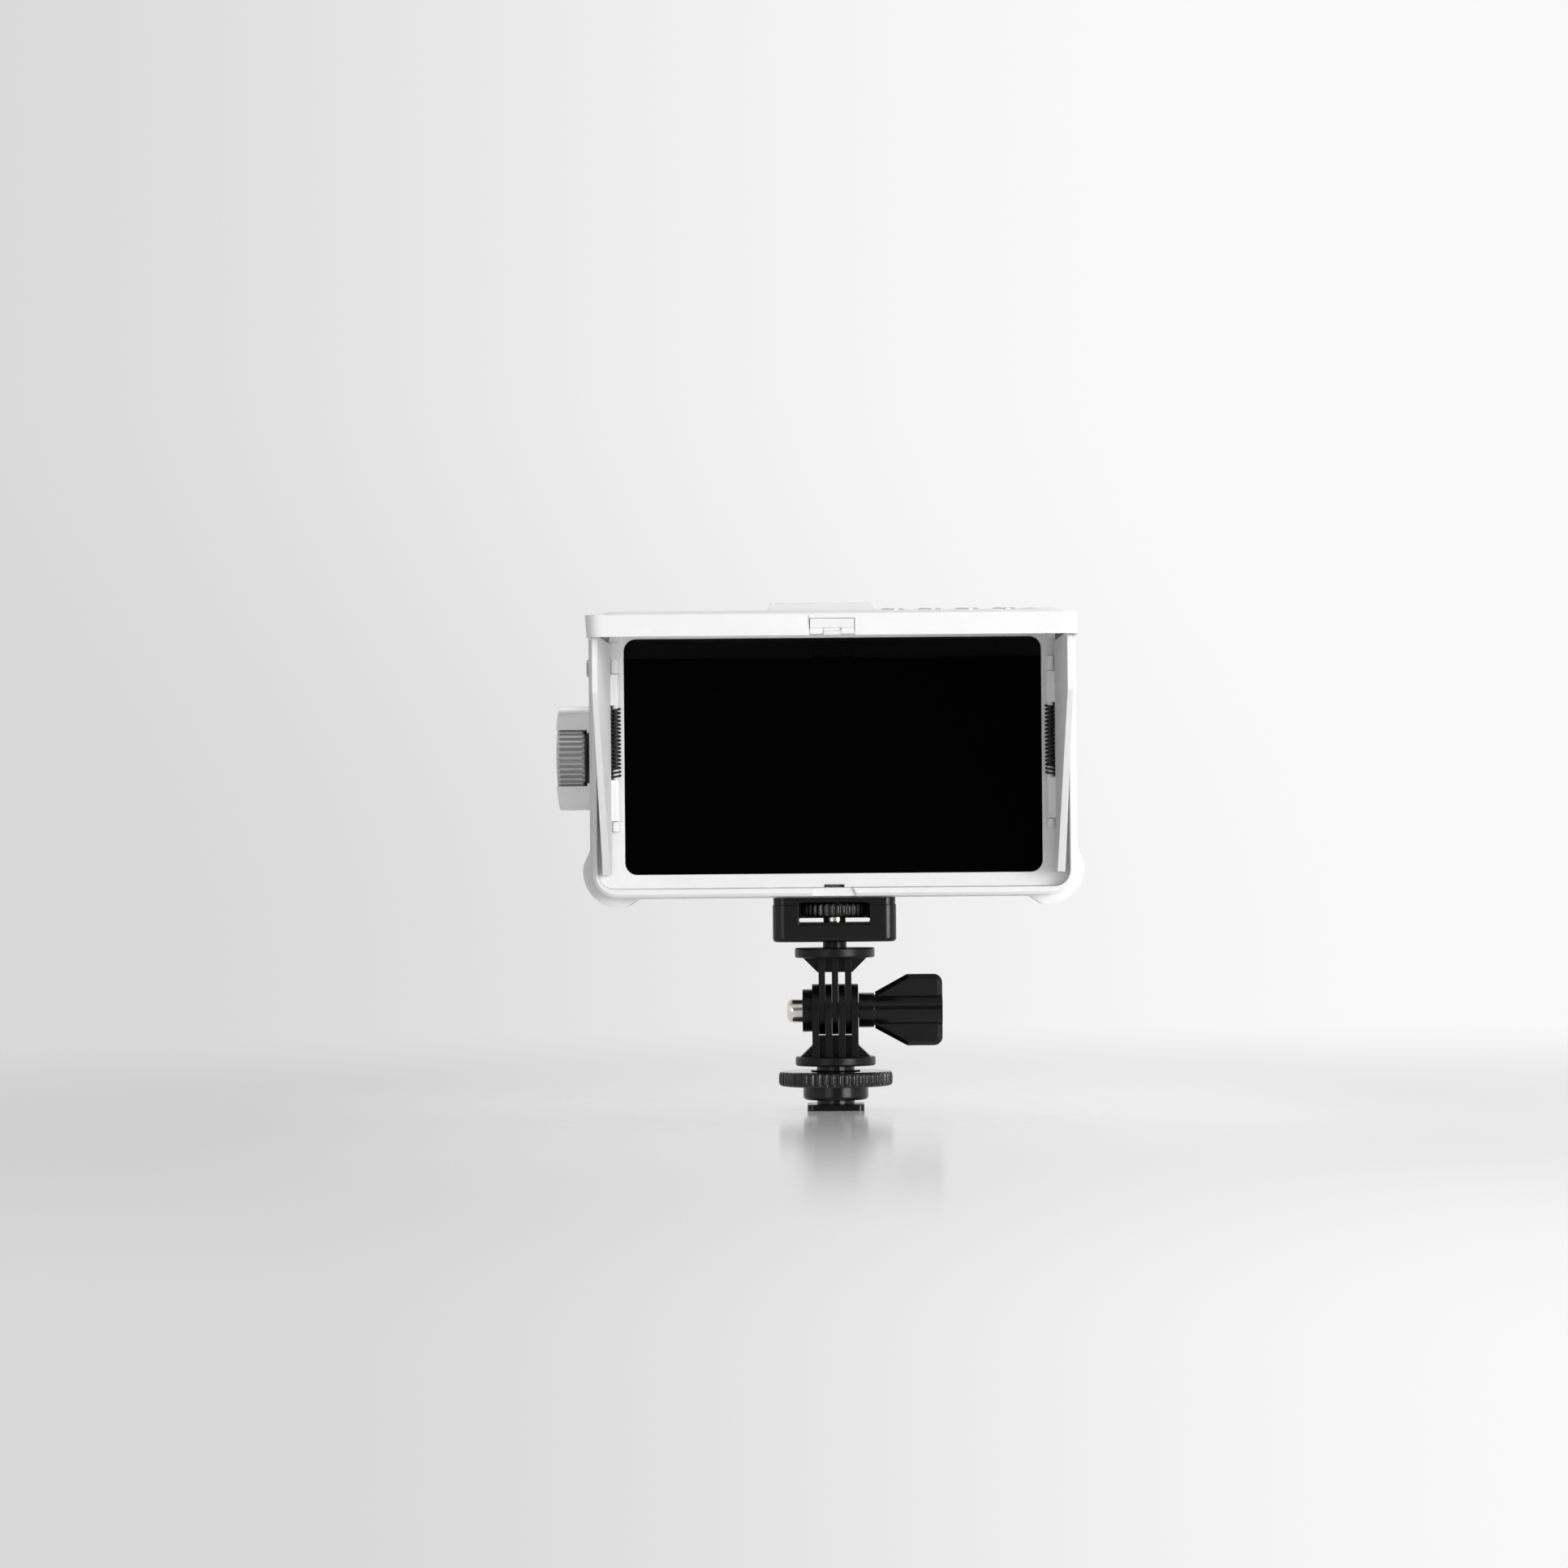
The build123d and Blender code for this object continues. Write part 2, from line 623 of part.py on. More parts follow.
# ================================================================ lid


def hood_lid():
    rear = SEAM_Y
    axis_at = (LID_AXIS_Y, LID_AXIS_Z)
    with BuildPart() as lid:
        with BuildSketch(Plane.XY.offset(LID_BOTTOM)) as outline:
            with Locations((0, LID_WALL_FRONT)):
                Rectangle(2 * LID_HALF_W, rear - LID_FRONT, align=(Align.CENTER, Align.MIN))
            fillet(outline.vertices().group_by(Axis.Y)[0], LID_R)
        extrude(amount=LID_H, taper=-LID_DRAFT)
        # the hinge end is a nose that is round about the hinge's axis
        with BuildSketch(side_plane(0)):
            with Locations((LID_AXIS_Y, LID_BOTTOM)):
                Rectangle(FAR, LID_H, align=(Align.MAX, Align.MIN))
            with Locations(axis_at):
                Circle(LID_AXIS_Z - LID_BOTTOM)
        extrude(amount=FAR, both=True, mode=Mode.INTERSECT)
        # the tray's hollow
        with BuildSketch(Plane.XY.offset(LID_BOTTOM)) as hollow:
            with Locations((0, LID_WALL_FRONT + LID_WALL)):
                Rectangle(
                    2 * (LID_HALF_W - LID_WALL), rear - LID_FRONT, align=(Align.CENTER, Align.MIN)
                )
            fillet(hollow.vertices().group_by(Axis.Y)[0], LID_R - LID_WALL)
        extrude(amount=LID_H - LID_PANEL, taper=-LID_DRAFT, mode=Mode.SUBTRACT)
        # notches around the lugs and springs
        for side in SIDES.values():
            with BuildSketch(Plane.XY.offset(LID_BOTTOM)):
                with Locations((side * (LUG_X - 2 * SIDE_GAP), LID_AXIS_Y - LUG_R - 2 * SIDE_GAP)):
                    Rectangle(
                        LID_HALF_W - LID_WALL - LUG_X + 2 * SIDE_GAP,
                        FAR,
                        align=(Align.MIN if side > 0 else Align.MAX, Align.MIN),
                    )
            extrude(amount=FAR, mode=Mode.SUBTRACT)
        # bores for the hinge pins, through both side walls
        with BuildSketch(side_plane(0)):
            with Locations(axis_at):
                Circle(LID_PIN_R + RUN_GAP)
        extrude(amount=FAR, both=True, mode=Mode.SUBTRACT)
        # opening of the latch in the front wall
        with BuildSketch(Plane.XY.offset(LID_BOTTOM)):
            with Locations((0, LID_FRONT)):
                Rectangle(2 * (LATCH_HALF_W + KEY_GAP), 4 * LID_WALL)
        extrude(amount=LATCH_TOP + SIDE_GAP - LID_BOTTOM, mode=Mode.SUBTRACT)
        # fingertip dish beside it: a round hollow that deepens towards the latch
        outside = LID_FRONT - DISH_R
        run = Line((-LATCH_HALF_W, outside + DISH_DEPTH, DISH_Z), (DISH_START, outside, DISH_Z))
        with BuildSketch(Plane(origin=run @ 0, z_dir=run % 0)):
            Circle(DISH_R)
        extrude(amount=2 * run.length, mode=Mode.SUBTRACT)
    finish(lid, "hood_lid")


def lid_latch_button():
    """Push plate with two legs and a hook, in an opening of the lid's front wall."""
    wall_back = LID_WALL_FRONT + LID_WALL
    flange_back = wall_back + SIDE_GAP + LATCH_FLANGE_T
    leg_w = LATCH_HALF_W - LATCH_TAB_HALF_W - SIDE_GAP
    lip_r = LATCH_LIP_H / 2
    with BuildPart() as button:
        with BuildSketch(front_plane(flange_back)):
            with Locations((0, LATCH_STEP)):
                Rectangle(
                    2 * LATCH_HALF_W, LATCH_TOP - LATCH_STEP, align=(Align.CENTER, Align.MIN)
                )
        extrude(amount=flange_back - LID_WALL_FRONT + LATCH_PROUD)
        # the flange behind the wall keeps the button in
        with BuildSketch(front_plane(flange_back)):
            with Locations((0, LATCH_STEP)):
                Rectangle(
                    2 * (LATCH_HALF_W + LATCH_FLANGE),
                    LATCH_TOP - LATCH_STEP,
                    align=(Align.CENTER, Align.MIN),
                )
        extrude(amount=LATCH_FLANGE_T)
        # legs either side of the hook
        with BuildSketch(front_plane(wall_back)):
            for side in SIDES.values():
                with Locations((side * (LATCH_HALF_W - leg_w / 2), LATCH_STEP)):
                    Rectangle(leg_w, LATCH_STEP - LATCH_LEG_BOTTOM, align=(Align.CENTER, Align.MAX))
        extrude(amount=LID_WALL)
        # the hook, set back a little, with a rounded lip along its lower edge
        with BuildSketch(front_plane(wall_back)):
            with Locations((0, LATCH_STEP)):
                Rectangle(
                    2 * LATCH_TAB_HALF_W, LATCH_STEP - LID_BOTTOM, align=(Align.CENTER, Align.MAX)
                )
        extrude(amount=LID_WALL / 2)
        with BuildSketch(side_plane(0)):
            with Locations((LID_WALL_FRONT + lip_r / 2, LID_BOTTOM + lip_r)):
                Circle(lip_r)
        extrude(amount=LATCH_TAB_HALF_W, both=True)
    finish(button, "lid_latch_button")


def lid_hinge(name, side):
    """One of the lid's two hinge pins, and the spring around it that lifts the lid."""
    inner = side * (LUG_X + SEAT_GAP)
    outer = side * (LID_HALF_W + LID_WALL / 4)
    with BuildPart() as pin:
        with BuildSketch(side_plane(min(inner, outer))):
            with Locations((LID_AXIS_Y, LID_AXIS_Z)):
                Circle(LID_PIN_R)
        extrude(amount=abs(outer - inner))
    finish(pin, f"{name}_lid_pin")

    start_x = LUG_X + LUG_W + LID_SPRING_WIRE / 2 + SIDE_GAP
    end_x = LID_HALF_W - LID_WALL - LID_SPRING_WIRE / 2 - 2 * SIDE_GAP
    # the legs press up under the lid and back against the bezel
    tip = LID_SPRING_WIRE / 2
    legs = (
        (
            (side * start_x, LID_AXIS_Y + LID_SPRING_R, LID_AXIS_Z),
            (side * start_x, BEZEL_Y - 2 * SIDE_GAP, LID_AXIS_Z),
        ),
        (
            (side * end_x, LID_AXIS_Y - LID_SPRING_R, LID_AXIS_Z),
            (side * end_x, LID_AXIS_Y - 4 * LID_SPRING_R, LID_UNDER - tip - SEAT_GAP),
        ),
    )
    with BuildPart() as spring:
        add(
            coil(
                (side * start_x, LID_AXIS_Y, LID_AXIS_Z),
                (side, 0, 0),
                LID_SPRING_R,
                LID_SPRING_WIRE,
                LID_SPRING_TURNS - 0.5,
                end_x - start_x,
                legs,
            )
        )
    finish(spring, f"{name}_lid_spring")


# ================================================================ side flaps
def flap_barrel(x, low, high, radius):
    """A round barrel on the flap's hinge axis, as a part."""
    with BuildPart() as barrel:
        with BuildSketch(Plane.XY.offset(low)):
            with Locations((x, FLAP_AXIS_Y)):
                Circle(radius)
        extrude(amount=high - low)
    return barrel.part


def flap(name, side):
    """A side flap: a leaf that is thicker at its hinge, with two barrels on the hinge pin."""
    axis_x = side * FLAP_AXIS_X
    back = BEZEL_Y - FLAP_BACK_GAP
    root = side * FLAP_ROOT_X
    outer = side * FLAP_OUTER_X
    with BuildPart() as leaf:
        with BuildSketch(side_plane(min(root, outer))) as profile:
            with BuildLine():
                Polyline(
                    (back, FLAP_TOP),
                    (FLAP_FRONT, FLAP_TOP),
                    (FLAP_FRONT, FLAP_STRAIGHT),
                    (BEZEL_Y - FLAP_FOOT_REACH, FLAP_BOTTOM),
                    (back, FLAP_BOTTOM),
                    close=True,
                )
            make_face()
            front_corners = profile.vertices().sort_by(Axis.X)
            fillet(front_corners[:2], FLAP_CORNER_R)
        extrude(amount=FLAP_ROOT_T)
        # the inner face leans outwards to the front edge
        with BuildSketch(Plane.XY.offset(FLAP_BOTTOM)):
            with BuildLine():
                Polyline(
                    (root, back),
                    (outer, back),
                    (outer, FLAP_FRONT),
                    (outer - side * FLAP_T, FLAP_FRONT),
                    close=True,
                )
            make_face()
        extrude(amount=FLAP_TOP - FLAP_BOTTOM, mode=Mode.INTERSECT)
        # groove beside the spring, and a deeper pocket around the spring's upper leg
        coil_r = FLAP_SPRING_R + FLAP_SPRING_WIRE / 2 + SIDE_GAP
        leg_low = FLAP_SPRING_HIGH - FLAP_SPRING_WIRE / 2 - SIDE_GAP
        add(flap_barrel(axis_x, SPRING_BOTTOM, SPRING_TOP, coil_r), mode=Mode.SUBTRACT)
        add(flap_barrel(axis_x, leg_low, SPRING_TOP, FLAP_LEG_POCKET_R), mode=Mode.SUBTRACT)
        # barrels on the pin, joined to the leaf by webs, with spigots inside the spring
        for low, high in (
            (SPRING_TOP, BARREL_TOP - SIDE_GAP),
            (BARREL_BOTTOM + SIDE_GAP, SPRING_BOTTOM),
        ):
            add(flap_barrel(axis_x, low, high, FLAP_BARREL_R))
            with BuildSketch(Plane.XY.offset(low)):
                with Locations((axis_x, FLAP_AXIS_Y)):
                    Rectangle(
                        FLAP_OUTER_X - FLAP_AXIS_X - FLAP_ROOT_T / 2,
                        2 * FLAP_BARREL_R,
                        align=(Align.MIN if side > 0 else Align.MAX, Align.CENTER),
                    )
            extrude(amount=high - low)
        add(flap_barrel(axis_x, SPRING_TOP - SPIGOT_L_HIGH, SPRING_TOP, SPIGOT_R))
        add(flap_barrel(axis_x, SPRING_BOTTOM, SPRING_BOTTOM + SPIGOT_L_LOW, SPIGOT_R))
        bore = flap_barrel(axis_x, BARREL_BOTTOM, BARREL_TOP, FLAP_PIN_R + RUN_GAP)
        add(bore, mode=Mode.SUBTRACT)
    finish(leaf, f"{name}_flap")


def flap_hinge(name, side):
    """A flap's hinge pin and the torsion spring that holds the flap open."""
    x = side * FLAP_AXIS_X
    with BuildPart() as pin:
        add(flap_barrel(x, KNUCKLE_BOTTOM + SEAT_GAP, KNUCKLE_TOP - FLAP_PIN_R, FLAP_PIN_R))
    finish(pin, f"{name}_flap_pin")

    # the coil is laid out for the left side, and the right one is its mirror image
    left_x = -FLAP_AXIS_X
    leg_x = left_x - FLAP_SPRING_R
    low = FLAP_SPRING_LOW
    high = FLAP_SPRING_HIGH
    legs = (
        ((left_x, FLAP_AXIS_Y + FLAP_SPRING_R, low), (left_x, BEZEL_Y - SEAT_GAP, low)),
        ((leg_x, FLAP_AXIS_Y, high), (leg_x, FLAP_AXIS_Y - FLAP_SPRING_LEG, high)),
    )
    left_coil = coil(
        (left_x, FLAP_AXIS_Y, low),
        (0, 0, 1),
        FLAP_SPRING_R,
        FLAP_SPRING_WIRE,
        FLAP_SPRING_TURNS,
        high - low,
        legs,
    )
    with BuildPart() as spring:
        add(left_coil if side < 0 else mirror(left_coil, about=Plane.YZ))
    finish(spring, f"{name}_flap_spring")


# ================================================================ rear case
def at_corner(sketch, x, z):
    """The corners of a front-facing sketch that lie at height z and at x on either side."""
    near = SIDE_GAP
    return [v for v in sketch.vertices() if abs(abs(v.X) - x) < near and abs(v.Y - z) < near]


def case_screw_places():
    """X and Z of the four case screws."""
    return [(x, SCREEN_Z + dz) for x in (-POST_X, POST_X) for dz in (-POST_DZ, POST_DZ)]


def rear_case():
    with BuildPart() as case:
        with BuildSketch(front_plane(CASE_BACK)) as outline:
            with Locations((0, CASE_MID_Z)):
                RectangleRounded(2 * CASE_HALF_W, CASE_TOP - CASE_BOTTOM, CASE_R)
            for side in SIDES.values():
                with BuildLine():
                    Polyline(
                        (side * (BUMPER_INNER_X - BUMPER_SLOPE), CASE_BOTTOM),
                        (side * BUMPER_INNER_X, BUMPER_BOTTOM),
                        (side * BUMPER_HALF_W, BUMPER_BOTTOM),
                        (side * BUMPER_HALF_W, BUMPER_TOP),
                        (side * CASE_HALF_W, BUMPER_FADE),
                        (side * (BUMPER_INNER_X - BUMPER_SLOPE), BUMPER_FADE),
                        close=True,
                    )
                make_face()
            fillet(at_corner(outline, BUMPER_HALF_W, BUMPER_BOTTOM), BUMPER_R)
            fillet(at_corner(outline, BUMPER_HALF_W, BUMPER_TOP), BUMPER_ROUND)
            fillet(at_corner(outline, CASE_HALF_W, BUMPER_FADE), BUMPER_ROUND)
            fillet(at_corner(outline, BUMPER_INNER_X, BUMPER_BOTTOM), BUMPER_SLOPE_R)
            fillet(at_corner(outline, BUMPER_INNER_X - BUMPER_SLOPE, CASE_BOTTOM), BUMPER_SLOPE_R)
        extrude(amount=CASE_BACK - SEAM_Y)
        fillet(case.faces().sort_by(Axis.Y)[-1].edges(), CASE_EDGE)
        # raised pad on top, with concave flanks
        with BuildSketch(front_plane(PAD_BACK)) as pad:
            with Locations((PAD_X, CASE_TOP - CASE_WALL)):
                Rectangle(
                    2 * (PAD_HALF_W + PAD_FLARE), CASE_WALL, align=(Align.CENTER, Align.MIN)
                )
                Rectangle(
                    2 * PAD_HALF_W, PAD_TOP - CASE_TOP + CASE_WALL, align=(Align.CENTER, Align.MIN)
                )
            foot_corners = [v for v in pad.vertices() if abs(v.Y - CASE_TOP) < SEAT_GAP]
            foot_corners = [v for v in foot_corners if abs(v.X - PAD_X) < PAD_HALF_W + SEAT_GAP]
            fillet(foot_corners, PAD_TOP - CASE_TOP - SIDE_GAP)
        extrude(amount=PAD_BACK - PAD_FRONT)
        # the hollow
        with BuildSketch(front_plane(CASE_INNER_BACK)):
            with Locations((0, CASE_MID_Z)):
                RectangleRounded(
                    2 * (CASE_HALF_W - CASE_WALL),
                    CASE_TOP - CASE_BOTTOM - 2 * CASE_WALL,
                    CASE_R - CASE_WALL,
                )
        extrude(amount=FAR, mode=Mode.SUBTRACT)
        # screw bosses that reach the chassis plate, and the screws' wells
        for place in case_screw_places():
            with BuildSketch(front_plane(CASE_INNER_BACK)):
                with Locations(place):
                    Circle(CASE_BOSS_R)
            extrude(amount=CASE_INNER_BACK - CHASSIS_BACK)
        for radius, depth in ((SCREW_R + SIDE_GAP, FAR), (SCREW_HEAD_R + KEY_GAP, SCREW_SINK)):
            with BuildSketch(front_plane(CASE_BACK)):
                with Locations(*case_screw_places()):
                    Circle(radius)
            extrude(amount=depth, mode=Mode.SUBTRACT)
        # boss and hole of the base thread insert
        with BuildSketch(Plane.XY.offset(CASE_BOTTOM)):
            Circle(INSERT_R + INSERT_COLLAR)
        extrude(amount=BASE_INSERT_L + CASE_WALL / 2)
        with BuildSketch(Plane.XY.offset(CASE_BOTTOM)):
            Circle(INSERT_R + SEAT_GAP)
        extrude(amount=BASE_INSERT_L, mode=Mode.SUBTRACT)
        # boss and hole of the thread insert in the top pad
        with BuildSketch(Plane.XY.offset(PAD_TOP)):
            with Locations((PAD_X, (PAD_FRONT + PAD_BACK) / 2)):
                Circle(INSERT_R + INSERT_COLLAR)
        extrude(amount=-TOP_INSERT_L - CASE_WALL / 2)
        with BuildSketch(Plane.XY.offset(PAD_TOP)):
            with Locations((PAD_X, (PAD_FRONT + PAD_BACK) / 2)):
                Circle(INSERT_R + SEAT_GAP)
        extrude(amount=-TOP_INSERT_L, mode=Mode.SUBTRACT)
        # holes of the keys along the top
        with BuildSketch(Plane.XY.offset(CASE_INNER_TOP - CASE_WALL)):
            for x in key_places():
                with Locations((x, KEY_Y)):
                    Circle(KEY_R + KEY_GAP)
            with Locations((POWER_X, KEY_Y)):
                Circle(POWER_R + KEY_GAP)
        extrude(amount=FAR, mode=Mode.SUBTRACT)
        # holes of the side key and the dial's shaft
        with BuildSketch(side_plane(-CASE_HALF_W)):
            with Locations((DIAL_Y, SIDE_KEY_Z)):
                Circle(SIDE_KEY_R + KEY_GAP)
            with Locations((DIAL_Y, DIAL_Z)):
                Circle(ENCODER_SHAFT_R + KEY_GAP)
        extrude(amount=CASE_WALL, mode=Mode.SUBTRACT)
        # mouths of the sockets
        with BuildSketch(side_plane(CASE_HALF_W)):
            with Locations((BOARD_BACK + HDMI_H / 2, HDMI_Z)):
                Rectangle(HDMI_H + 2 * SOCKET_GAP, HDMI_W + 2 * SOCKET_GAP)
            with Locations((BOARD_BACK + USB_H / 2, USB_Z)):
                SlotOverall(USB_W + 2 * SOCKET_GAP, USB_H + 2 * SOCKET_GAP, rotation=90)
            with Locations((BOARD_BACK + POWER_SOCKET_R, POWER_SOCKET_Z)):
                Circle(POWER_SOCKET_R + SOCKET_GAP)
            with Locations((BOARD_BACK + JACK_R, JACK_Z)):
                Circle(JACK_R + SOCKET_GAP)
        extrude(amount=-CASE_WALL, mode=Mode.SUBTRACT)
        # cooling slots either side of the battery plate
        with BuildSketch(front_plane(CASE_BACK)):
            for side in SIDES.values():
                with Locations((side * VENT_X, VENT_Z)):
                    with GridLocations(VENT_PITCH, VENT_PITCH, VENT_COUNT, 1):
                        SlotOverall(VENT_L, VENT_W, rotation=90)
        extrude(amount=CASE_WALL, mode=Mode.SUBTRACT)
        # holes for the battery plate's screws
        with BuildSketch(front_plane(CASE_BACK)):
            with Locations((0, PLATE_Z)):
                with GridLocations(2 * PLATE_SCREW_X, 2 * PLATE_SCREW_DZ, 2, 2):
                    Circle(SCREW_R + SEAT_GAP)
        extrude(amount=CASE_WALL, mode=Mode.SUBTRACT)
    finish(case, "rear_case")


def case_screws():
    """Four screws, each with a six-sided recess in its head."""
    head_y = CASE_BACK - SCREW_SINK
    with BuildPart() as screws:
        with BuildSketch(front_plane(head_y)):
            with Locations(*case_screw_places()):
                Circle(SCREW_R)
        extrude(amount=head_y - LCD_BACK + SCREW_BITE)
        with BuildSketch(front_plane(head_y + SCREW_HEAD_H)):
            with Locations(*case_screw_places()):
                Circle(SCREW_HEAD_R)
        extrude(amount=SCREW_HEAD_H)
        with BuildSketch(front_plane(head_y + SCREW_HEAD_H)):
            with Locations(*case_screw_places()):
                RegularPolygon(SCREW_R, 6)
        extrude(amount=SCREW_HEAD_H / 2, mode=Mode.SUBTRACT)
    finish(screws, "case_screws")


def thread_insert(name, x, y, low, length):
    """Brass bush with a quarter-inch bore."""
    with BuildPart() as insert:
        with BuildSketch(Plane.XY.offset(low)):
            with Locations((x, y)):
                Circle(INSERT_R)
                Circle(THREAD_R + RUN_GAP, mode=Mode.SUBTRACT)
        extrude(amount=length)
    finish(insert, name)


# ================================================================ keys
def key_places():
    return [KEY_X0 + KEY_PITCH * i for i in range(4)]


def key(name, x, radius, top):
    """A round key in the top edge, with a bar across its foot that keeps it in."""
    under = CASE_INNER_TOP - SEAT_GAP
    with BuildPart() as cap:
        with BuildSketch(Plane.XY.offset(under - KEY_LIP_T)):
            with Locations((x, KEY_Y)):
                Rectangle(KEY_LIP_W, 2 * (radius + KEY_LIP))
        extrude(amount=KEY_LIP_T)
        with BuildSketch(Plane.XY.offset(under)):
            with Locations((x, KEY_Y)):
                Circle(radius)
        extrude(amount=top - under)
        fillet(cap.faces().sort_by(Axis.Z)[-1].edges(), KEY_STROKE)
    finish(cap, name)


def button_board():
    """Strip of board under the keys, with one switch dome for each."""
    dome_top = CASE_INNER_TOP - SEAT_GAP - KEY_LIP_T - KEY_STROKE - SEAT_GAP
    board_top = dome_top - KEY_DOME_H
    left = KEY_X0 - 2 * KEY_R
    right = POWER_X + KEY_R
    with BuildPart() as board:
        with BuildSketch(Plane.XY.offset(board_top)):
            with Locations(((left + right) / 2, KEY_Y)):
                Rectangle(right - left, 2 * KEY_R)
        extrude(amount=-KEY_BOARD_T)
        with BuildSketch(Plane.XY.offset(board_top)):
            for x in (*key_places(), POWER_X):
                with Locations((x, KEY_Y)):
                    Circle(KEY_R / 2)
        extrude(amount=KEY_DOME_H)
        # two feet stand the strip off the case's back wall
        foot_y = KEY_Y + KEY_R
        with BuildSketch(Plane.XY.offset(board_top)):
            for x in (left + KEY_R, right - KEY_R):
                with Locations((x, foot_y)):
                    Rectangle(KEY_R, CASE_INNER_BACK - foot_y, align=(Align.CENTER, Align.MIN))
        extrude(amount=-KEY_BOARD_T)
    finish(board, "button_board")


def side_button():
    inner_x = -(CASE_HALF_W - CASE_WALL - SEAT_GAP)
    outer_x = -(CASE_HALF_W + SIDE_KEY_PROUD)
    with BuildPart() as cap:
        with BuildSketch(side_plane(inner_x)):
            with Locations((DIAL_Y, SIDE_KEY_Z)):
                Circle(SIDE_KEY_R + KEY_LIP)
        extrude(amount=KEY_LIP_T)
        with BuildSketch(side_plane(inner_x)):
            with Locations((DIAL_Y, SIDE_KEY_Z)):
                Circle(SIDE_KEY_R)
        extrude(amount=outer_x - inner_x)
        fillet(cap.faces().sort_by(Axis.X)[0].edges(), KEY_STROKE)
    finish(cap, "side_button")

    switch_x = inner_x + KEY_LIP_T + KEY_STROKE + SEAT_GAP
    with BuildPart() as switch:
        with BuildSketch(side_plane(switch_x)):
            with Locations((DIAL_Y, SIDE_KEY_Z)):
                Circle(SIDE_KEY_R / 2)
        extrude(amount=KEY_DOME_H)
        with BuildSketch(side_plane(switch_x + KEY_DOME_H)):
            with Locations((DIAL_Y, SIDE_KEY_Z)):
                Rectangle(2 * SIDE_KEY_R, 2 * SIDE_KEY_R)
            with Locations((DIAL_Y, SIDE_KEY_Z)):
                Rectangle(
                    CASE_INNER_BACK - DIAL_Y, SIDE_KEY_R, align=(Align.MIN, Align.CENTER)
                )
        extrude(amount=KEY_BOARD_T)
    finish(switch, "side_switch")


# ================================================================ dial
def dial_wheel():
    sag = DIAL_DOME_R - sqrt(DIAL_DOME_R**2 - DIAL_R**2)
    with BuildPart() as wheel:
        with BuildSketch(Plane.XY) as profile:
            with BuildLine():
                inner = Line((-DIAL_IN, 0), (-DIAL_IN, DIAL_R))
                rim = Line(inner @ 1, (-DIAL_OUT + sag, DIAL_R))
                dome = RadiusArc(rim @ 1, (-DIAL_OUT, 0), DIAL_DOME_R)
                Line(dome @ 1, inner @ 0)
            make_face()
        revolve(axis=Axis.X)
        rims = wheel.edges().filter_by(GeomType.CIRCLE).sort_by(SortBy.RADIUS)[-2:]
        chamfer(rims, DIAL_EDGE)
        with BuildSketch(side_plane(-DIAL_OUT)):
            with PolarLocations(DIAL_R, DIAL_RIBS):
                Rectangle(2 * DIAL_RIB_DEPTH, pi * DIAL_R / DIAL_RIBS - DIAL_RIB_DEPTH / 2)
        extrude(amount=DIAL_OUT - DIAL_IN, mode=Mode.SUBTRACT)
        # socket for the encoder's shaft
        with BuildSketch(side_plane(-DIAL_IN)):
            Circle(ENCODER_SHAFT_R + SEAT_GAP)
        extrude(amount=-(DIAL_OUT - DIAL_IN) / 2, mode=Mode.SUBTRACT)
    wheel.part.position = (0, DIAL_Y, DIAL_Z)
    finish(wheel, "dial_wheel")


def dial_guards():
    """Blocks above and below the dial, hollowed around it and domed like it."""
    base_x = -(CASE_HALF_W + DIAL_BASE_T)
    mid_y = (GUARD_FRONT + GUARD_BACK) / 2
    mid_z = (GUARD_TOP + GUARD_BOTTOM) / 2
    for name, low, high in (
        ("dial_guard_upper", DIAL_Z, GUARD_TOP),
        ("dial_guard_lower", GUARD_BOTTOM, DIAL_Z),
    ):
        with BuildPart() as guard:
            with BuildSketch(side_plane(base_x)):
                with Locations((mid_y, mid_z)):
                    RectangleRounded(GUARD_BACK - GUARD_FRONT, GUARD_TOP - GUARD_BOTTOM, GUARD_R)
                with Locations((mid_y, low)):
                    Rectangle(
                        FAR, high - low, align=(Align.CENTER, Align.MIN), mode=Mode.INTERSECT
                    )
                with Locations((DIAL_Y, DIAL_Z)):
                    Circle(DIAL_R + GUARD_GAP, mode=Mode.SUBTRACT)
            extrude(amount=-(DIAL_OUT + base_x))
            with BuildSketch(front_plane(GUARD_BACK)):
                with Locations((DIAL_DOME_R - DIAL_OUT, DIAL_Z)):
                    Circle(DIAL_DOME_R)
            extrude(amount=GUARD_BACK - GUARD_FRONT, mode=Mode.INTERSECT)
        finish(guard, name)


def dial_base():
    base_x = -(CASE_HALF_W + DIAL_BASE_T)
    with BuildPart() as base:
        with BuildSketch(side_plane(base_x)):
            with Locations(((GUARD_FRONT + GUARD_BACK) / 2, (GUARD_TOP + GUARD_BOTTOM) / 2)):
                RectangleRounded(GUARD_BACK - GUARD_FRONT, GUARD_TOP - GUARD_BOTTOM, GUARD_R)
            with Locations((DIAL_Y, DIAL_Z)):
                Circle(ENCODER_SHAFT_R + KEY_GAP, mode=Mode.SUBTRACT)
        extrude(amount=DIAL_BASE_T)
    finish(base, "dial_base")


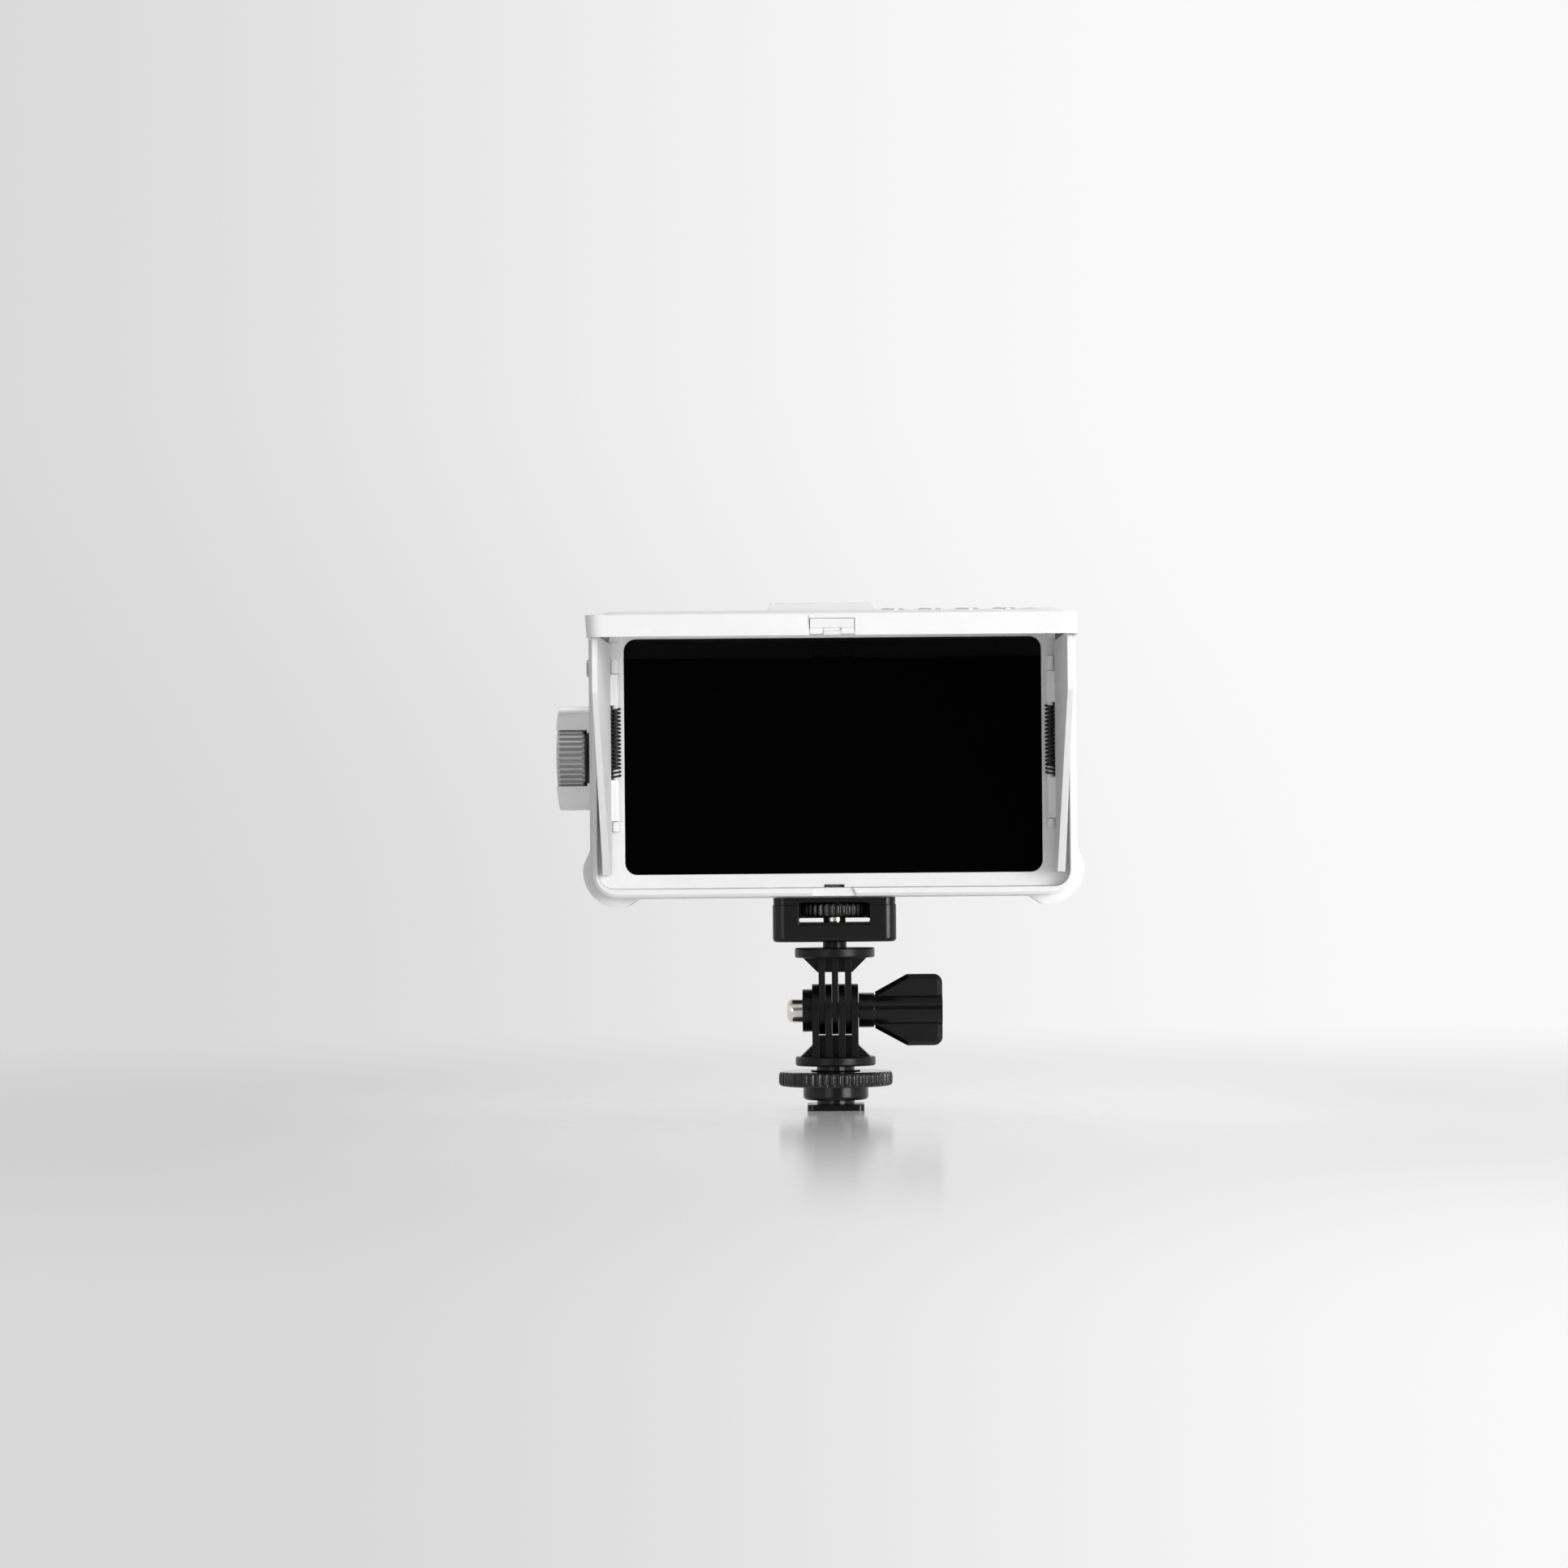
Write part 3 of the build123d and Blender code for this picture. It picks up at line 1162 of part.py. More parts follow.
def dial_encoder():
    wall_x = -(CASE_HALF_W - CASE_WALL)
    depth = (DIAL_OUT - DIAL_IN) / 2 - SIDE_GAP
    with BuildPart() as encoder:
        with BuildSketch(side_plane(wall_x)):
            with Locations((DIAL_Y, DIAL_Z)):
                Rectangle(ENCODER_SIZE, ENCODER_SIZE)
        extrude(amount=ENCODER_T)
    finish(encoder, "dial_encoder")

    with BuildPart() as shaft:
        with BuildSketch(side_plane(wall_x - SIDE_GAP)):
            with Locations((DIAL_Y, DIAL_Z)):
                Circle(ENCODER_SHAFT_R)
        extrude(amount=-(DIAL_IN + depth + wall_x - SIDE_GAP))
    finish(shaft, "dial_shaft")


# ================================================================ sockets in the right side
def socket_plane():
    """Plane just inside the right wall's outer face."""
    return side_plane(CASE_HALF_W - SOCKET_GAP)


def socket(name, half_h, z, outline, mouth, tongue):
    """A socket on the board: its outline as a block, hollowed to its mouth but for a tongue."""
    at = (BOARD_BACK + half_h, z)
    with BuildPart() as body:
        with BuildSketch(socket_plane()):
            with Locations(at):
                add(outline)
        extrude(amount=-SOCKET_DEPTH)
        with BuildSketch(socket_plane()):
            with Locations(at):
                add(mouth)
                add(tongue, mode=Mode.SUBTRACT)
        extrude(amount=-SOCKET_DEPTH + SOCKET_BACK, mode=Mode.SUBTRACT)
    finish(body, name)


def sockets():
    socket(
        "hdmi_socket",
        HDMI_H / 2,
        HDMI_Z,
        Rectangle(HDMI_H, HDMI_W),
        Rectangle(HDMI_H - 2 * SHELL_T, HDMI_W - 2 * SHELL_T),
        Rectangle(TONGUE_T, HDMI_W - 6 * SHELL_T),
    )
    socket(
        "usb_socket",
        USB_H / 2,
        USB_Z,
        SlotOverall(USB_W, USB_H, rotation=90),
        SlotOverall(USB_W - SHELL_T, USB_H - SHELL_T, rotation=90),
        Rectangle(TONGUE_T, USB_W - USB_H),
    )
    socket(
        "power_socket",
        POWER_SOCKET_R,
        POWER_SOCKET_Z,
        Circle(POWER_SOCKET_R),
        Circle(POWER_SOCKET_R - 2 * SHELL_T),
        Circle(POWER_PIN_R),
    )
    with BuildPart() as jack:
        for radius, depth, mode in (
            (JACK_R, SOCKET_DEPTH, Mode.ADD),
            (JACK_BORE_R, SOCKET_DEPTH - SOCKET_BACK, Mode.SUBTRACT),
        ):
            with BuildSketch(socket_plane()):
                with Locations((BOARD_BACK + JACK_R, JACK_Z)):
                    Circle(radius)
            extrude(amount=-depth, mode=mode)
    finish(jack, "headphone_socket")


def socket_board():
    """Strip of board that carries the four sockets and plugs into the main board."""
    low = JACK_Z - JACK_R
    with BuildPart() as strip:
        with BuildSketch(front_plane(BOARD_BACK)):
            with Locations((BOARD_W / 2 + SIDE_GAP, low)):
                Rectangle(
                    CASE_HALF_W - CASE_WALL - BOARD_W / 2 - 2 * SIDE_GAP,
                    HDMI_Z + HDMI_W / 2 - low,
                    align=(Align.MIN, Align.MIN),
                )
        extrude(amount=BOARD_T)
    finish(strip, "socket_board")


# ================================================================ battery plate
def battery_plate():
    face_y = CASE_BACK + PLATE_T
    with BuildPart() as plate:
        with BuildSketch(front_plane(face_y)):
            with Locations((0, PLATE_Z)):
                RectangleRounded(2 * PLATE_HALF_W, PLATE_H, PLATE_R)
        extrude(amount=PLATE_T)
        # hooked rails that a battery slides down onto
        for side in SIDES.values():
            for z in (RAIL_HIGH, RAIL_LOW):
                edge = side * PLATE_HALF_W
                for width, near, far in (
                    (RAIL_W - RAIL_LIP, face_y, face_y + RAIL_T),
                    (RAIL_W, face_y + RAIL_T - RAIL_LIP_T, face_y + RAIL_T),
                ):
                    inward = Align.MAX if side > 0 else Align.MIN
                    with BuildSketch(front_plane(far)):
                        with Locations((edge, z)):
                            Rectangle(width, RAIL_L, align=(inward, Align.CENTER))
                    extrude(amount=far - near)
        # window of the release button, recess of the contacts and the screw wells
        with BuildSketch(front_plane(face_y)):
            with Locations((0, RELEASE_Z)):
                Rectangle(RELEASE_W + 2 * KEY_GAP, RELEASE_L - RELEASE_W + 2 * KEY_GAP)
        extrude(amount=FAR, mode=Mode.SUBTRACT)
        with BuildSketch(front_plane(CASE_BACK + PLATE_T - CONTACT_W)):
            with Locations((0, RELEASE_Z)):
                Rectangle(
                    RELEASE_W + 2 * RAIL_LIP + 2 * KEY_GAP,
                    RELEASE_L - RELEASE_W + 2 * RAIL_LIP + 2 * KEY_GAP,
                )
        extrude(amount=PLATE_T, mode=Mode.SUBTRACT)
        with BuildSketch(front_plane(face_y)):
            with Locations((0, CONTACT_Z)):
                with GridLocations(CONTACT_PITCH, 1, 3, 1):
                    Rectangle(CONTACT_W, CONTACT_L)
        extrude(amount=PLATE_T / 2, mode=Mode.SUBTRACT)
        for radius, depth in (
            (SCREW_R + SIDE_GAP, PLATE_T),
            (SCREW_HEAD_R + KEY_GAP, SCREW_HEAD_H),
        ):
            with BuildSketch(front_plane(face_y)):
                with Locations((0, PLATE_Z)):
                    with GridLocations(2 * PLATE_SCREW_X, 2 * PLATE_SCREW_DZ, 2, 2):
                        Circle(radius)
            extrude(amount=depth, mode=Mode.SUBTRACT)
    finish(plate, "battery_plate")


def battery_contacts():
    face_y = CASE_BACK + PLATE_T
    with BuildPart() as blades:
        with BuildSketch(front_plane(face_y + CONTACT_H)):
            with Locations((0, CONTACT_Z)):
                with GridLocations(CONTACT_PITCH, 1, 3, 1):
                    Rectangle(CONTACT_W, CONTACT_L)
        extrude(amount=CONTACT_H + PLATE_T / 2)
    finish(blades, "battery_contacts")


def battery_release():
    """Push button that drops out of the battery's way, held in by a flange."""
    flange_back = CASE_BACK + PLATE_T - CONTACT_W - SEAT_GAP
    flange_t = PLATE_T - CONTACT_W - RELEASE_STROKE - 2 * SEAT_GAP
    out_y = CASE_BACK + PLATE_T + RELEASE_PROUD
    with BuildPart() as release:
        with BuildSketch(front_plane(out_y)):
            with Locations((0, RELEASE_Z)):
                Rectangle(RELEASE_W, RELEASE_L - RELEASE_W)
        extrude(amount=out_y - flange_back)
        with BuildSketch(front_plane(flange_back)):
            with Locations((0, RELEASE_Z)):
                Rectangle(RELEASE_W + 2 * RAIL_LIP, RELEASE_L - RELEASE_W + 2 * RAIL_LIP)
        extrude(amount=flange_t)
    finish(release, "battery_release")


def battery_screws():
    head_y = CASE_BACK + PLATE_T - SCREW_HEAD_H
    with BuildPart() as screws:
        with BuildSketch(front_plane(head_y + SCREW_HEAD_H)):
            with Locations((0, PLATE_Z)):
                with GridLocations(2 * PLATE_SCREW_X, 2 * PLATE_SCREW_DZ, 2, 2):
                    Circle(SCREW_HEAD_R)
        extrude(amount=SCREW_HEAD_H)
        with BuildSketch(front_plane(head_y)):
            with Locations((0, PLATE_Z)):
                with GridLocations(2 * PLATE_SCREW_X, 2 * PLATE_SCREW_DZ, 2, 2):
                    Circle(SCREW_R)
        extrude(amount=head_y - CASE_INNER_BACK)
    finish(screws, "battery_screws")


# ================================================================ mount box
def mount_box():
    with BuildPart() as box:
        with BuildSketch(Plane.XY.offset(BOX_BOTTOM)):
            RectangleRounded(2 * BOX_HALF_W, 2 * BOX_HALF_D, BOX_R)
        extrude(amount=BOX_SEAM - BOX_BOTTOM)
        fillet(box.faces().sort_by(Axis.Z)[0].edges(), BOX_EDGE)
        with BuildSketch(Plane.XY.offset(BOX_SEAM)):
            RectangleRounded(
                2 * (BOX_HALF_W - BOX_WALL), 2 * (BOX_HALF_D - BOX_WALL), BOX_R - BOX_WALL
            )
        extrude(amount=-(BOX_SEAM - BOX_BOTTOM - BOX_FLOOR), mode=Mode.SUBTRACT)
        # shelf under the screw wheel, on two cheeks
        with BuildSketch(Plane.XY.offset(SHELF_TOP)):
            Rectangle(2 * (BOX_HALF_W - BOX_WALL), 2 * (BOX_HALF_D - BOX_WALL))
        extrude(amount=-SHELF_T)
        with BuildSketch(Plane.XY.offset(BOX_SEAM)):
            for side in SIDES.values():
                with Locations((side * (BOX_HALF_W - BOX_WALL), 0)):
                    Rectangle(
                        BOX_HALF_W - WHEEL_POCKET_R - 2 * BOX_WALL,
                        2 * (BOX_HALF_D - BOX_WALL),
                        align=(Align.MAX if side > 0 else Align.MIN, Align.CENTER),
                    )
        extrude(amount=-(BOX_SEAM - BOX_BOTTOM - BOX_FLOOR))
        # window in the front wall, where the thumb turns the wheel
        with BuildSketch(front_plane(BOX_WALL - BOX_HALF_D)):
            with Locations((0, WINDOW_BOTTOM)):
                Rectangle(2 * WINDOW_HALF_W, FAR, align=(Align.CENTER, Align.MIN))
        extrude(amount=BOX_WALL, mode=Mode.SUBTRACT)
        # low slot in the back wall, level with the shelf
        with BuildSketch(front_plane(BOX_HALF_D)):
            with Locations((0, SHELF_TOP + BACK_SLOT_H / 2)):
                SlotOverall(2 * WINDOW_HALF_W, BACK_SLOT_H)
        extrude(amount=BOX_WALL, mode=Mode.SUBTRACT)
        # room for the wheel in the front and back walls
        with BuildSketch(Plane.XY.offset(SHELF_TOP)):
            Circle(WHEEL_POCKET_R)
        extrude(amount=BOX_SEAM - SHELF_TOP, mode=Mode.SUBTRACT)
        # bore of the swivel bolt
        with BuildSketch(Plane.XY.offset(BOX_BOTTOM)):
            Circle(SWIVEL_R + RUN_GAP)
        extrude(amount=BOX_FLOOR, mode=Mode.SUBTRACT)
    finish(box, "mount_box")


def mount_top_plate():
    with BuildPart() as plate:
        with BuildSketch(Plane.XY.offset(BOX_SEAM)):
            RectangleRounded(
                2 * (BOX_HALF_W - LIP_INSET), 2 * (BOX_HALF_D - LIP_INSET), BOX_R - LIP_INSET
            )
        extrude(amount=BOX_TOP - BOX_SEAM)
        # the underside is hollow over the wheel and open to the window
        with BuildSketch(front_plane(WHEEL_POCKET_R)):
            with Locations((0, WINDOW_TOP)):
                RectangleRounded(
                    2 * WINDOW_HALF_W,
                    2 * (WINDOW_TOP - BOX_SEAM),
                    WINDOW_R,
                    align=(Align.CENTER, Align.MAX),
                )
        extrude(amount=2 * BOX_HALF_D, mode=Mode.SUBTRACT)
        with BuildSketch(Plane.XY.offset(BOX_TOP)):
            RectangleRounded(
                2 * (BOX_HALF_W - PAD_MARGIN), 2 * (BOX_HALF_D - PAD_MARGIN), BOX_R - PAD_MARGIN / 2
            )
        extrude(amount=-PAD_T, mode=Mode.SUBTRACT)
        with BuildSketch(Plane.XY.offset(BOX_SEAM)):
            Circle(THREAD_R + SIDE_GAP)
        extrude(amount=BOX_TOP - BOX_SEAM, mode=Mode.SUBTRACT)
    finish(plate, "mount_top_plate")


def mount_pad():
    """Rubber pad let into the top plate, which grips the monitor's base."""
    margin = PAD_MARGIN + SIDE_GAP
    with BuildPart() as pad:
        with BuildSketch(Plane.XY.offset(BOX_TOP)):
            RectangleRounded(
                2 * (BOX_HALF_W - margin), 2 * (BOX_HALF_D - margin), BOX_R - PAD_MARGIN / 2
            )
            Circle(THREAD_R + 2 * SIDE_GAP, mode=Mode.SUBTRACT)
        extrude(amount=-PAD_T)
    finish(pad, "mount_pad")


def screw_wheel():
    with BuildPart() as wheel:
        with BuildSketch(Plane.XY.offset(WHEEL_BOTTOM)):
            Circle(WHEEL_R)
        extrude(amount=WHEEL_TOP - WHEEL_BOTTOM)
        fillet(wheel.edges(), WHEEL_EDGE)
        with BuildSketch(Plane.XY.offset(WHEEL_BOTTOM)):
            add(ribbed_disc(WHEEL_R, WHEEL_RIBS, WHEEL_RIB_R, THREAD_R + SEAT_GAP))
        extrude(amount=WHEEL_TOP - WHEEL_BOTTOM, mode=Mode.INTERSECT)
    finish(wheel, "screw_wheel")


def mount_screw():
    """Quarter-inch screw with a collar that rests on the box's shelf and carries the wheel."""
    with BuildPart() as screw:
        with BuildSketch(Plane.XY.offset(SCREW_COLLAR_BOTTOM)):
            Circle(SCREW_COLLAR_R)
        extrude(amount=WHEEL_BOTTOM - SCREW_COLLAR_BOTTOM)
        with BuildSketch(Plane.XY.offset(WHEEL_BOTTOM)):
            Circle(THREAD_R)
        extrude(amount=CASE_BOTTOM + SCREW_BITE_L - WHEEL_BOTTOM)
        chamfer(screw.faces().sort_by(Axis.Z)[-1].edges(), SCREW_POINT)
    finish(screw, "mount_screw")


def swivel_bolt():
    """Bolt that the box turns on; its shank sits in the arm's neck."""
    head_z = BOX_BOTTOM + BOX_FLOOR + SEAT_GAP
    with BuildPart() as bolt:
        with BuildSketch(Plane.XY.offset(head_z)):
            Circle(SWIVEL_HEAD_R)
        extrude(amount=SWIVEL_HEAD_H)
        with BuildSketch(Plane.XY.offset(head_z)):
            Circle(SWIVEL_R)
        extrude(amount=-(head_z - ARM_DISC_BOTTOM - SIDE_GAP))
    finish(bolt, "swivel_bolt")


# ================================================================ arm and fork
def prongs(places, thick, end_r, reach, fill):
    """Plates with round ends on the pivot, up or down to reach, with a narrower fill between."""
    upward = reach > PIVOT_Z
    outer = max(places) + thick / 2
    with BuildPart() as plates:
        for x in places:
            with BuildSketch(side_plane(x)):
                with Locations((0, PIVOT_Z)):
                    Circle(end_r)
                    Rectangle(
                        2 * end_r,
                        abs(reach - PIVOT_Z),
                        align=(Align.CENTER, Align.MIN if upward else Align.MAX),
                    )
            extrude(amount=thick / 2, both=True)
        with BuildSketch(Plane.XY.offset(fill)):
            Rectangle(2 * outer, 2 * FILL_HALF_DEPTH)
        extrude(amount=reach - fill)
    return plates.part


def upper_arm():
    places = [PRONG_PITCH * i for i in (-1, 0, 1)]
    with BuildPart() as arm:
        add(prongs(places, ARM_PRONG_T, ARM_END_R, ARM_DISC_BOTTOM, ARM_FILL))
        # gusset that widens up to the disc
        with BuildSketch(front_plane(FILL_HALF_DEPTH)):
            with BuildLine():
                Polyline(
                    (-GUSSET_LOW_HALF, ARM_FILL),
                    (GUSSET_LOW_HALF, ARM_FILL),
                    (GUSSET_TOP_HALF, ARM_DISC_BOTTOM),
                    (-GUSSET_TOP_HALF, ARM_DISC_BOTTOM),
                    close=True,
                )
            make_face()
        extrude(amount=2 * FILL_HALF_DEPTH)
        with BuildSketch(side_plane(0)):
            with Locations((0, PIVOT_Z)):
                Circle(PIVOT_R + RUN_GAP)
        extrude(amount=FAR, both=True, mode=Mode.SUBTRACT)
        with BuildPart(mode=Mode.PRIVATE) as disc:
            with BuildSketch(Plane.XY.offset(ARM_DISC_BOTTOM)):
                Circle(ARM_DISC_R)
            extrude(amount=ARM_DISC_T)
            fillet(disc.edges().filter_by(GeomType.CIRCLE), DISC_EDGE)
        add(disc.part)
        with BuildSketch(Plane.XY.offset(ARM_DISC_TOP)):
            Circle(NECK_R)
        extrude(amount=BOX_BOTTOM - ARM_DISC_TOP)
        with BuildSketch(Plane.XY.offset(BOX_BOTTOM)):
            Circle(SWIVEL_R + SEAT_GAP)
        extrude(amount=-(BOX_BOTTOM - ARM_DISC_BOTTOM), mode=Mode.SUBTRACT)
    finish(arm, "upper_arm")


def lower_fork():
    places = [PRONG_PITCH * i for i in (-1.5, -0.5, 0.5, 1.5)]
    with BuildPart() as fork:
        add(prongs(places, FORK_PRONG_T, FORK_END_R, FORK_DISC_TOP, FORK_FILL))
        # gussets that widen down to the disc
        with BuildSketch(front_plane(FILL_HALF_DEPTH)):
            with BuildLine():
                Polyline(
                    (-FORK_FACE_X, FORK_GUSSET_TOP),
                    (FORK_FACE_X, FORK_GUSSET_TOP),
                    (FORK_GUSSET_HALF, FORK_DISC_TOP),
                    (-FORK_GUSSET_HALF, FORK_DISC_TOP),
                    close=True,
                )
            make_face()
        extrude(amount=2 * FILL_HALF_DEPTH)
        with BuildPart(mode=Mode.PRIVATE) as disc:
            with BuildSketch(Plane.XY.offset(FORK_DISC_BOTTOM)):
                Circle(FORK_DISC_R)
            extrude(amount=FORK_DISC_T)
            fillet(disc.edges().filter_by(GeomType.CIRCLE), DISC_EDGE)
        add(disc.part)
        # boss that holds the cap nut
        with BuildSketch(side_plane(NUT_BOSS_X)):
            with Locations((0, PIVOT_Z)):
                Circle(NUT_BOSS_R)
        extrude(amount=-NUT_BOSS_X - FORK_FACE_X)
        with BuildSketch(side_plane(NUT_BOSS_X)):
            with Locations((0, PIVOT_Z)):
                RegularPolygon(NUT_HEX / 2 + SEAT_GAP, 6, major_radius=False)
        extrude(amount=NUT_HEX_L, mode=Mode.SUBTRACT)
        with BuildSketch(side_plane(0)):
            with Locations((0, PIVOT_Z)):
                Circle(PIVOT_R + RUN_GAP)
        extrude(amount=FAR, both=True, mode=Mode.SUBTRACT)
        # socket for the shoe's stem
        with BuildSketch(Plane.XY.offset(FORK_DISC_BOTTOM)):
            Circle(STEM_R + SEAT_GAP)
        extrude(amount=STEM_SEAT, mode=Mode.SUBTRACT)
    finish(fork, "lower_fork")


def pivot_bolt():
    tip_x = NUT_BOSS_X + NUT_HEX_L / 4
    with BuildPart() as bolt:
        with BuildSketch(side_plane(tip_x)):
            with Locations((0, PIVOT_Z)):
                Circle(PIVOT_R)
        extrude(amount=KNOB_COLLAR_X + BOLT_IN_KNOB - tip_x)
    finish(bolt, "pivot_bolt")


def cap_nut():
    """Domed nut: a hexagon in the fork's boss and a domed barrel outside it."""
    barrel = NUT_BOSS_X - NUT_TIP_X - NUT_DOME_R / 2
    hex_x = NUT_BOSS_X + SEAT_GAP
    with BuildPart() as nut:
        with BuildSketch(side_plane(hex_x)):
            with Locations((0, PIVOT_Z)):
                RegularPolygon(NUT_HEX / 2, 6, major_radius=False)
        extrude(amount=NUT_HEX_L - 2 * SEAT_GAP)
        with BuildSketch(side_plane(hex_x)):
            with Locations((0, PIVOT_Z)):
                Circle(NUT_DOME_R)
        extrude(amount=NUT_TIP_X - hex_x)
        fillet(nut.faces().sort_by(Axis.X)[0].edges(), NUT_DOME_R / 2)
        with BuildSketch(side_plane(hex_x + NUT_HEX_L)):
            with Locations((0, PIVOT_Z)):
                Circle(PIVOT_R + RUN_GAP)
        extrude(amount=-(NUT_HEX_L + barrel), mode=Mode.SUBTRACT)
    finish(nut, "cap_nut")


def thumb_knob():
    """Collar, groove, hub ridge and two flat wings with bevelled edges, on the pivot bolt."""
    inner_x = FORK_FACE_X + SIDE_GAP
    root_x = KNOB_COLLAR_X + KNOB_GROOVE
    with BuildPart() as knob:
        with BuildSketch(front_plane(KNOB_T / 2)) as wing:
            with BuildLine():
                Polyline(
                    (root_x, PIVOT_Z - KNOB_WAIST),
                    (KNOB_SHOULDER_X, PIVOT_Z - KNOB_HALF_H),
                    (KNOB_END_X, PIVOT_Z - KNOB_HALF_H),
                    (KNOB_END_X, PIVOT_Z + KNOB_HALF_H),
                    (KNOB_SHOULDER_X, PIVOT_Z + KNOB_HALF_H),
                    (root_x, PIVOT_Z + KNOB_WAIST),
                    close=True,
                )
            make_face()
            fillet(wing.vertices().group_by(Axis.X)[-1], KNOB_END_R)
        extrude(amount=KNOB_T)
        faces = knob.faces().sort_by(Axis.Y)
        bevelled = faces[0].edges() + faces[-1].edges()
        chamfer([e for e in bevelled if e.center().X > root_x + SEAT_GAP], KNOB_BEVEL)
        for radius, start, end in (
            (KNOB_HUB_R, KNOB_COLLAR_X, KNOB_END_X),
            (KNOB_COLLAR_R, inner_x, KNOB_COLLAR_X),
        ):
            with BuildSketch(side_plane(start)):
                with Locations((0, PIVOT_Z)):
                    Circle(radius)
            extrude(amount=end - start)
        with BuildSketch(side_plane(inner_x)):
            with Locations((0, PIVOT_Z)):
                Circle(PIVOT_R + SEAT_GAP)
        extrude(amount=KNOB_COLLAR_X + BOLT_IN_KNOB - inner_x + SEAT_GAP, mode=Mode.SUBTRACT)
    finish(knob, "thumb_knob")


# ================================================================ shoe
def shoe_foot():
    with BuildPart() as foot:
        with BuildSketch(Plane.XY):
            RectangleRounded(FOOT_W, FOOT_W, FOOT_R)
        extrude(amount=FOOT_T)
        chamfer(foot.faces().sort_by(Axis.Z)[-1].edges(), FOOT_EDGE)
        with BuildSketch(Plane.XY.offset(FOOT_T)):
            Circle(STEM_R)
        extrude(amount=FORK_DISC_BOTTOM + STEM_SEAT - FOOT_T)
    finish(foot, "shoe_foot")


def clamp_collar():
    with BuildPart() as collar:
        with BuildSketch(Plane.XY.offset(COLLAR_BOTTOM)):
            Circle(COLLAR_R)
        extrude(amount=COLLAR_TOP - COLLAR_BOTTOM)
        fillet(collar.faces().sort_by(Axis.Z)[0].edges(), COLLAR_EDGE)
        with BuildSketch(Plane.XY.offset(COLLAR_BOTTOM)):
            Circle(STEM_R + RUN_GAP)
        extrude(amount=COLLAR_TOP - COLLAR_BOTTOM, mode=Mode.SUBTRACT)
    finish(collar, "clamp_collar")


def locking_wheel():
    low = COLLAR_TOP + SEAT_GAP
    with BuildPart() as wheel:
        with BuildSketch(Plane.XY.offset(low)):
            add(ribbed_disc(LOCK_R, LOCK_RIBS, LOCK_RIB_R, STEM_R + RUN_GAP))
        extrude(amount=LOCK_TOP - low - LOCK_RING_H)
        with BuildPart(mode=Mode.PRIVATE) as rounded:
            with BuildSketch(Plane.XY.offset(low)):
                Circle(LOCK_R)
            extrude(amount=LOCK_TOP - low - LOCK_RING_H)
            fillet(rounded.edges(), LOCK_EDGE)
        add(rounded.part, mode=Mode.INTERSECT)
        with BuildSketch(Plane.XY.offset(low)):
            Circle(LOCK_RING_R)
        extrude(amount=LOCK_TOP - low)
        with BuildSketch(Plane.XY.offset(low)):
            Circle(STEM_R + RUN_GAP)
        extrude(amount=LOCK_TOP - low, mode=Mode.SUBTRACT)
    finish(wheel, "locking_wheel")


# ================================================================ the whole object
cover_glass()
lcd_panel()
chassis_plate()
main_board()
hood_frame()
hood_lid()
lid_latch_button()
for side_name, sign in SIDES.items():
    lid_hinge(side_name, sign)
    flap(side_name, sign)
    flap_hinge(side_name, sign)
rear_case()
case_screws()
thread_insert("base_thread_insert", 0, 0, CASE_BOTTOM, BASE_INSERT_L)
thread_insert(
    "top_thread_insert", PAD_X, (PAD_FRONT + PAD_BACK) / 2, PAD_TOP - TOP_INSERT_L, TOP_INSERT_L
)
for number, key_x in enumerate(key_places(), start=1):
    key(f"top_button_{number}", key_x, KEY_R, KEY_TOP)
key("power_button", POWER_X, POWER_R, POWER_TOP)
button_board()
side_button()
dial_wheel()
dial_guards()
dial_base()
dial_encoder()
sockets()
socket_board()
battery_plate()
battery_contacts()
battery_release()
battery_screws()
mount_box()
mount_top_plate()
mount_pad()
screw_wheel()
mount_screw()
swivel_bolt()
upper_arm()
lower_fork()
pivot_bolt()
cap_nut()
thumb_knob()
shoe_foot()
clamp_collar()
locking_wheel()
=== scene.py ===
"""Dresses the field monitor, its folding sun hood and its tilting shoe mount."""

import math

import bmesh
import bpy
import numpy as np
from mathutils import Matrix, Vector


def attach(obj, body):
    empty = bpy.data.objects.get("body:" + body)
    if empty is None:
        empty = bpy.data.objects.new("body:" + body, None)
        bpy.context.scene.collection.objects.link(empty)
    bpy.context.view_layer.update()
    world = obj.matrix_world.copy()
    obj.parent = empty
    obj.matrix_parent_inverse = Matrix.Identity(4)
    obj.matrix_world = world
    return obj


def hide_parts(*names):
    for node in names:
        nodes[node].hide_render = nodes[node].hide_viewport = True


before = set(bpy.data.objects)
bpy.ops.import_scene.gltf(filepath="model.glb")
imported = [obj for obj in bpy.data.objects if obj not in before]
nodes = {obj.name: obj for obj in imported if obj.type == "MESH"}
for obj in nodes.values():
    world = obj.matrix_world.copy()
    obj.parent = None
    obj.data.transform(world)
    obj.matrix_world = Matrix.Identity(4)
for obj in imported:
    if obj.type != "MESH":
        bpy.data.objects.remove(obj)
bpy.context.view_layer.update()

MM = 0.001
IMAGE = 1932  # the picture is square, this many pixels a side

# ------------------------------------------------------------------ camera, in metres
SENSOR = 0.036
FOCAL_PIXELS = 6080.0
EYE = Vector((0.0, -1.589, 0.0829))
AXIS_PIXEL = (1027.5, 1050.0)  # where the line from the eye along +Y meets the picture
ROLL = math.radians(0.48)

# ------------------------------------------------------------------ studio
MIDDLE = (0, -0.03, 0.11)  # where the lamps point
FLOOR_HALF_W = 9.0
FLOOR_FRONT = -9.0
WALL_Y = 2.6
WALL_HEIGHT = 3.0
CORNER_R = 0.8

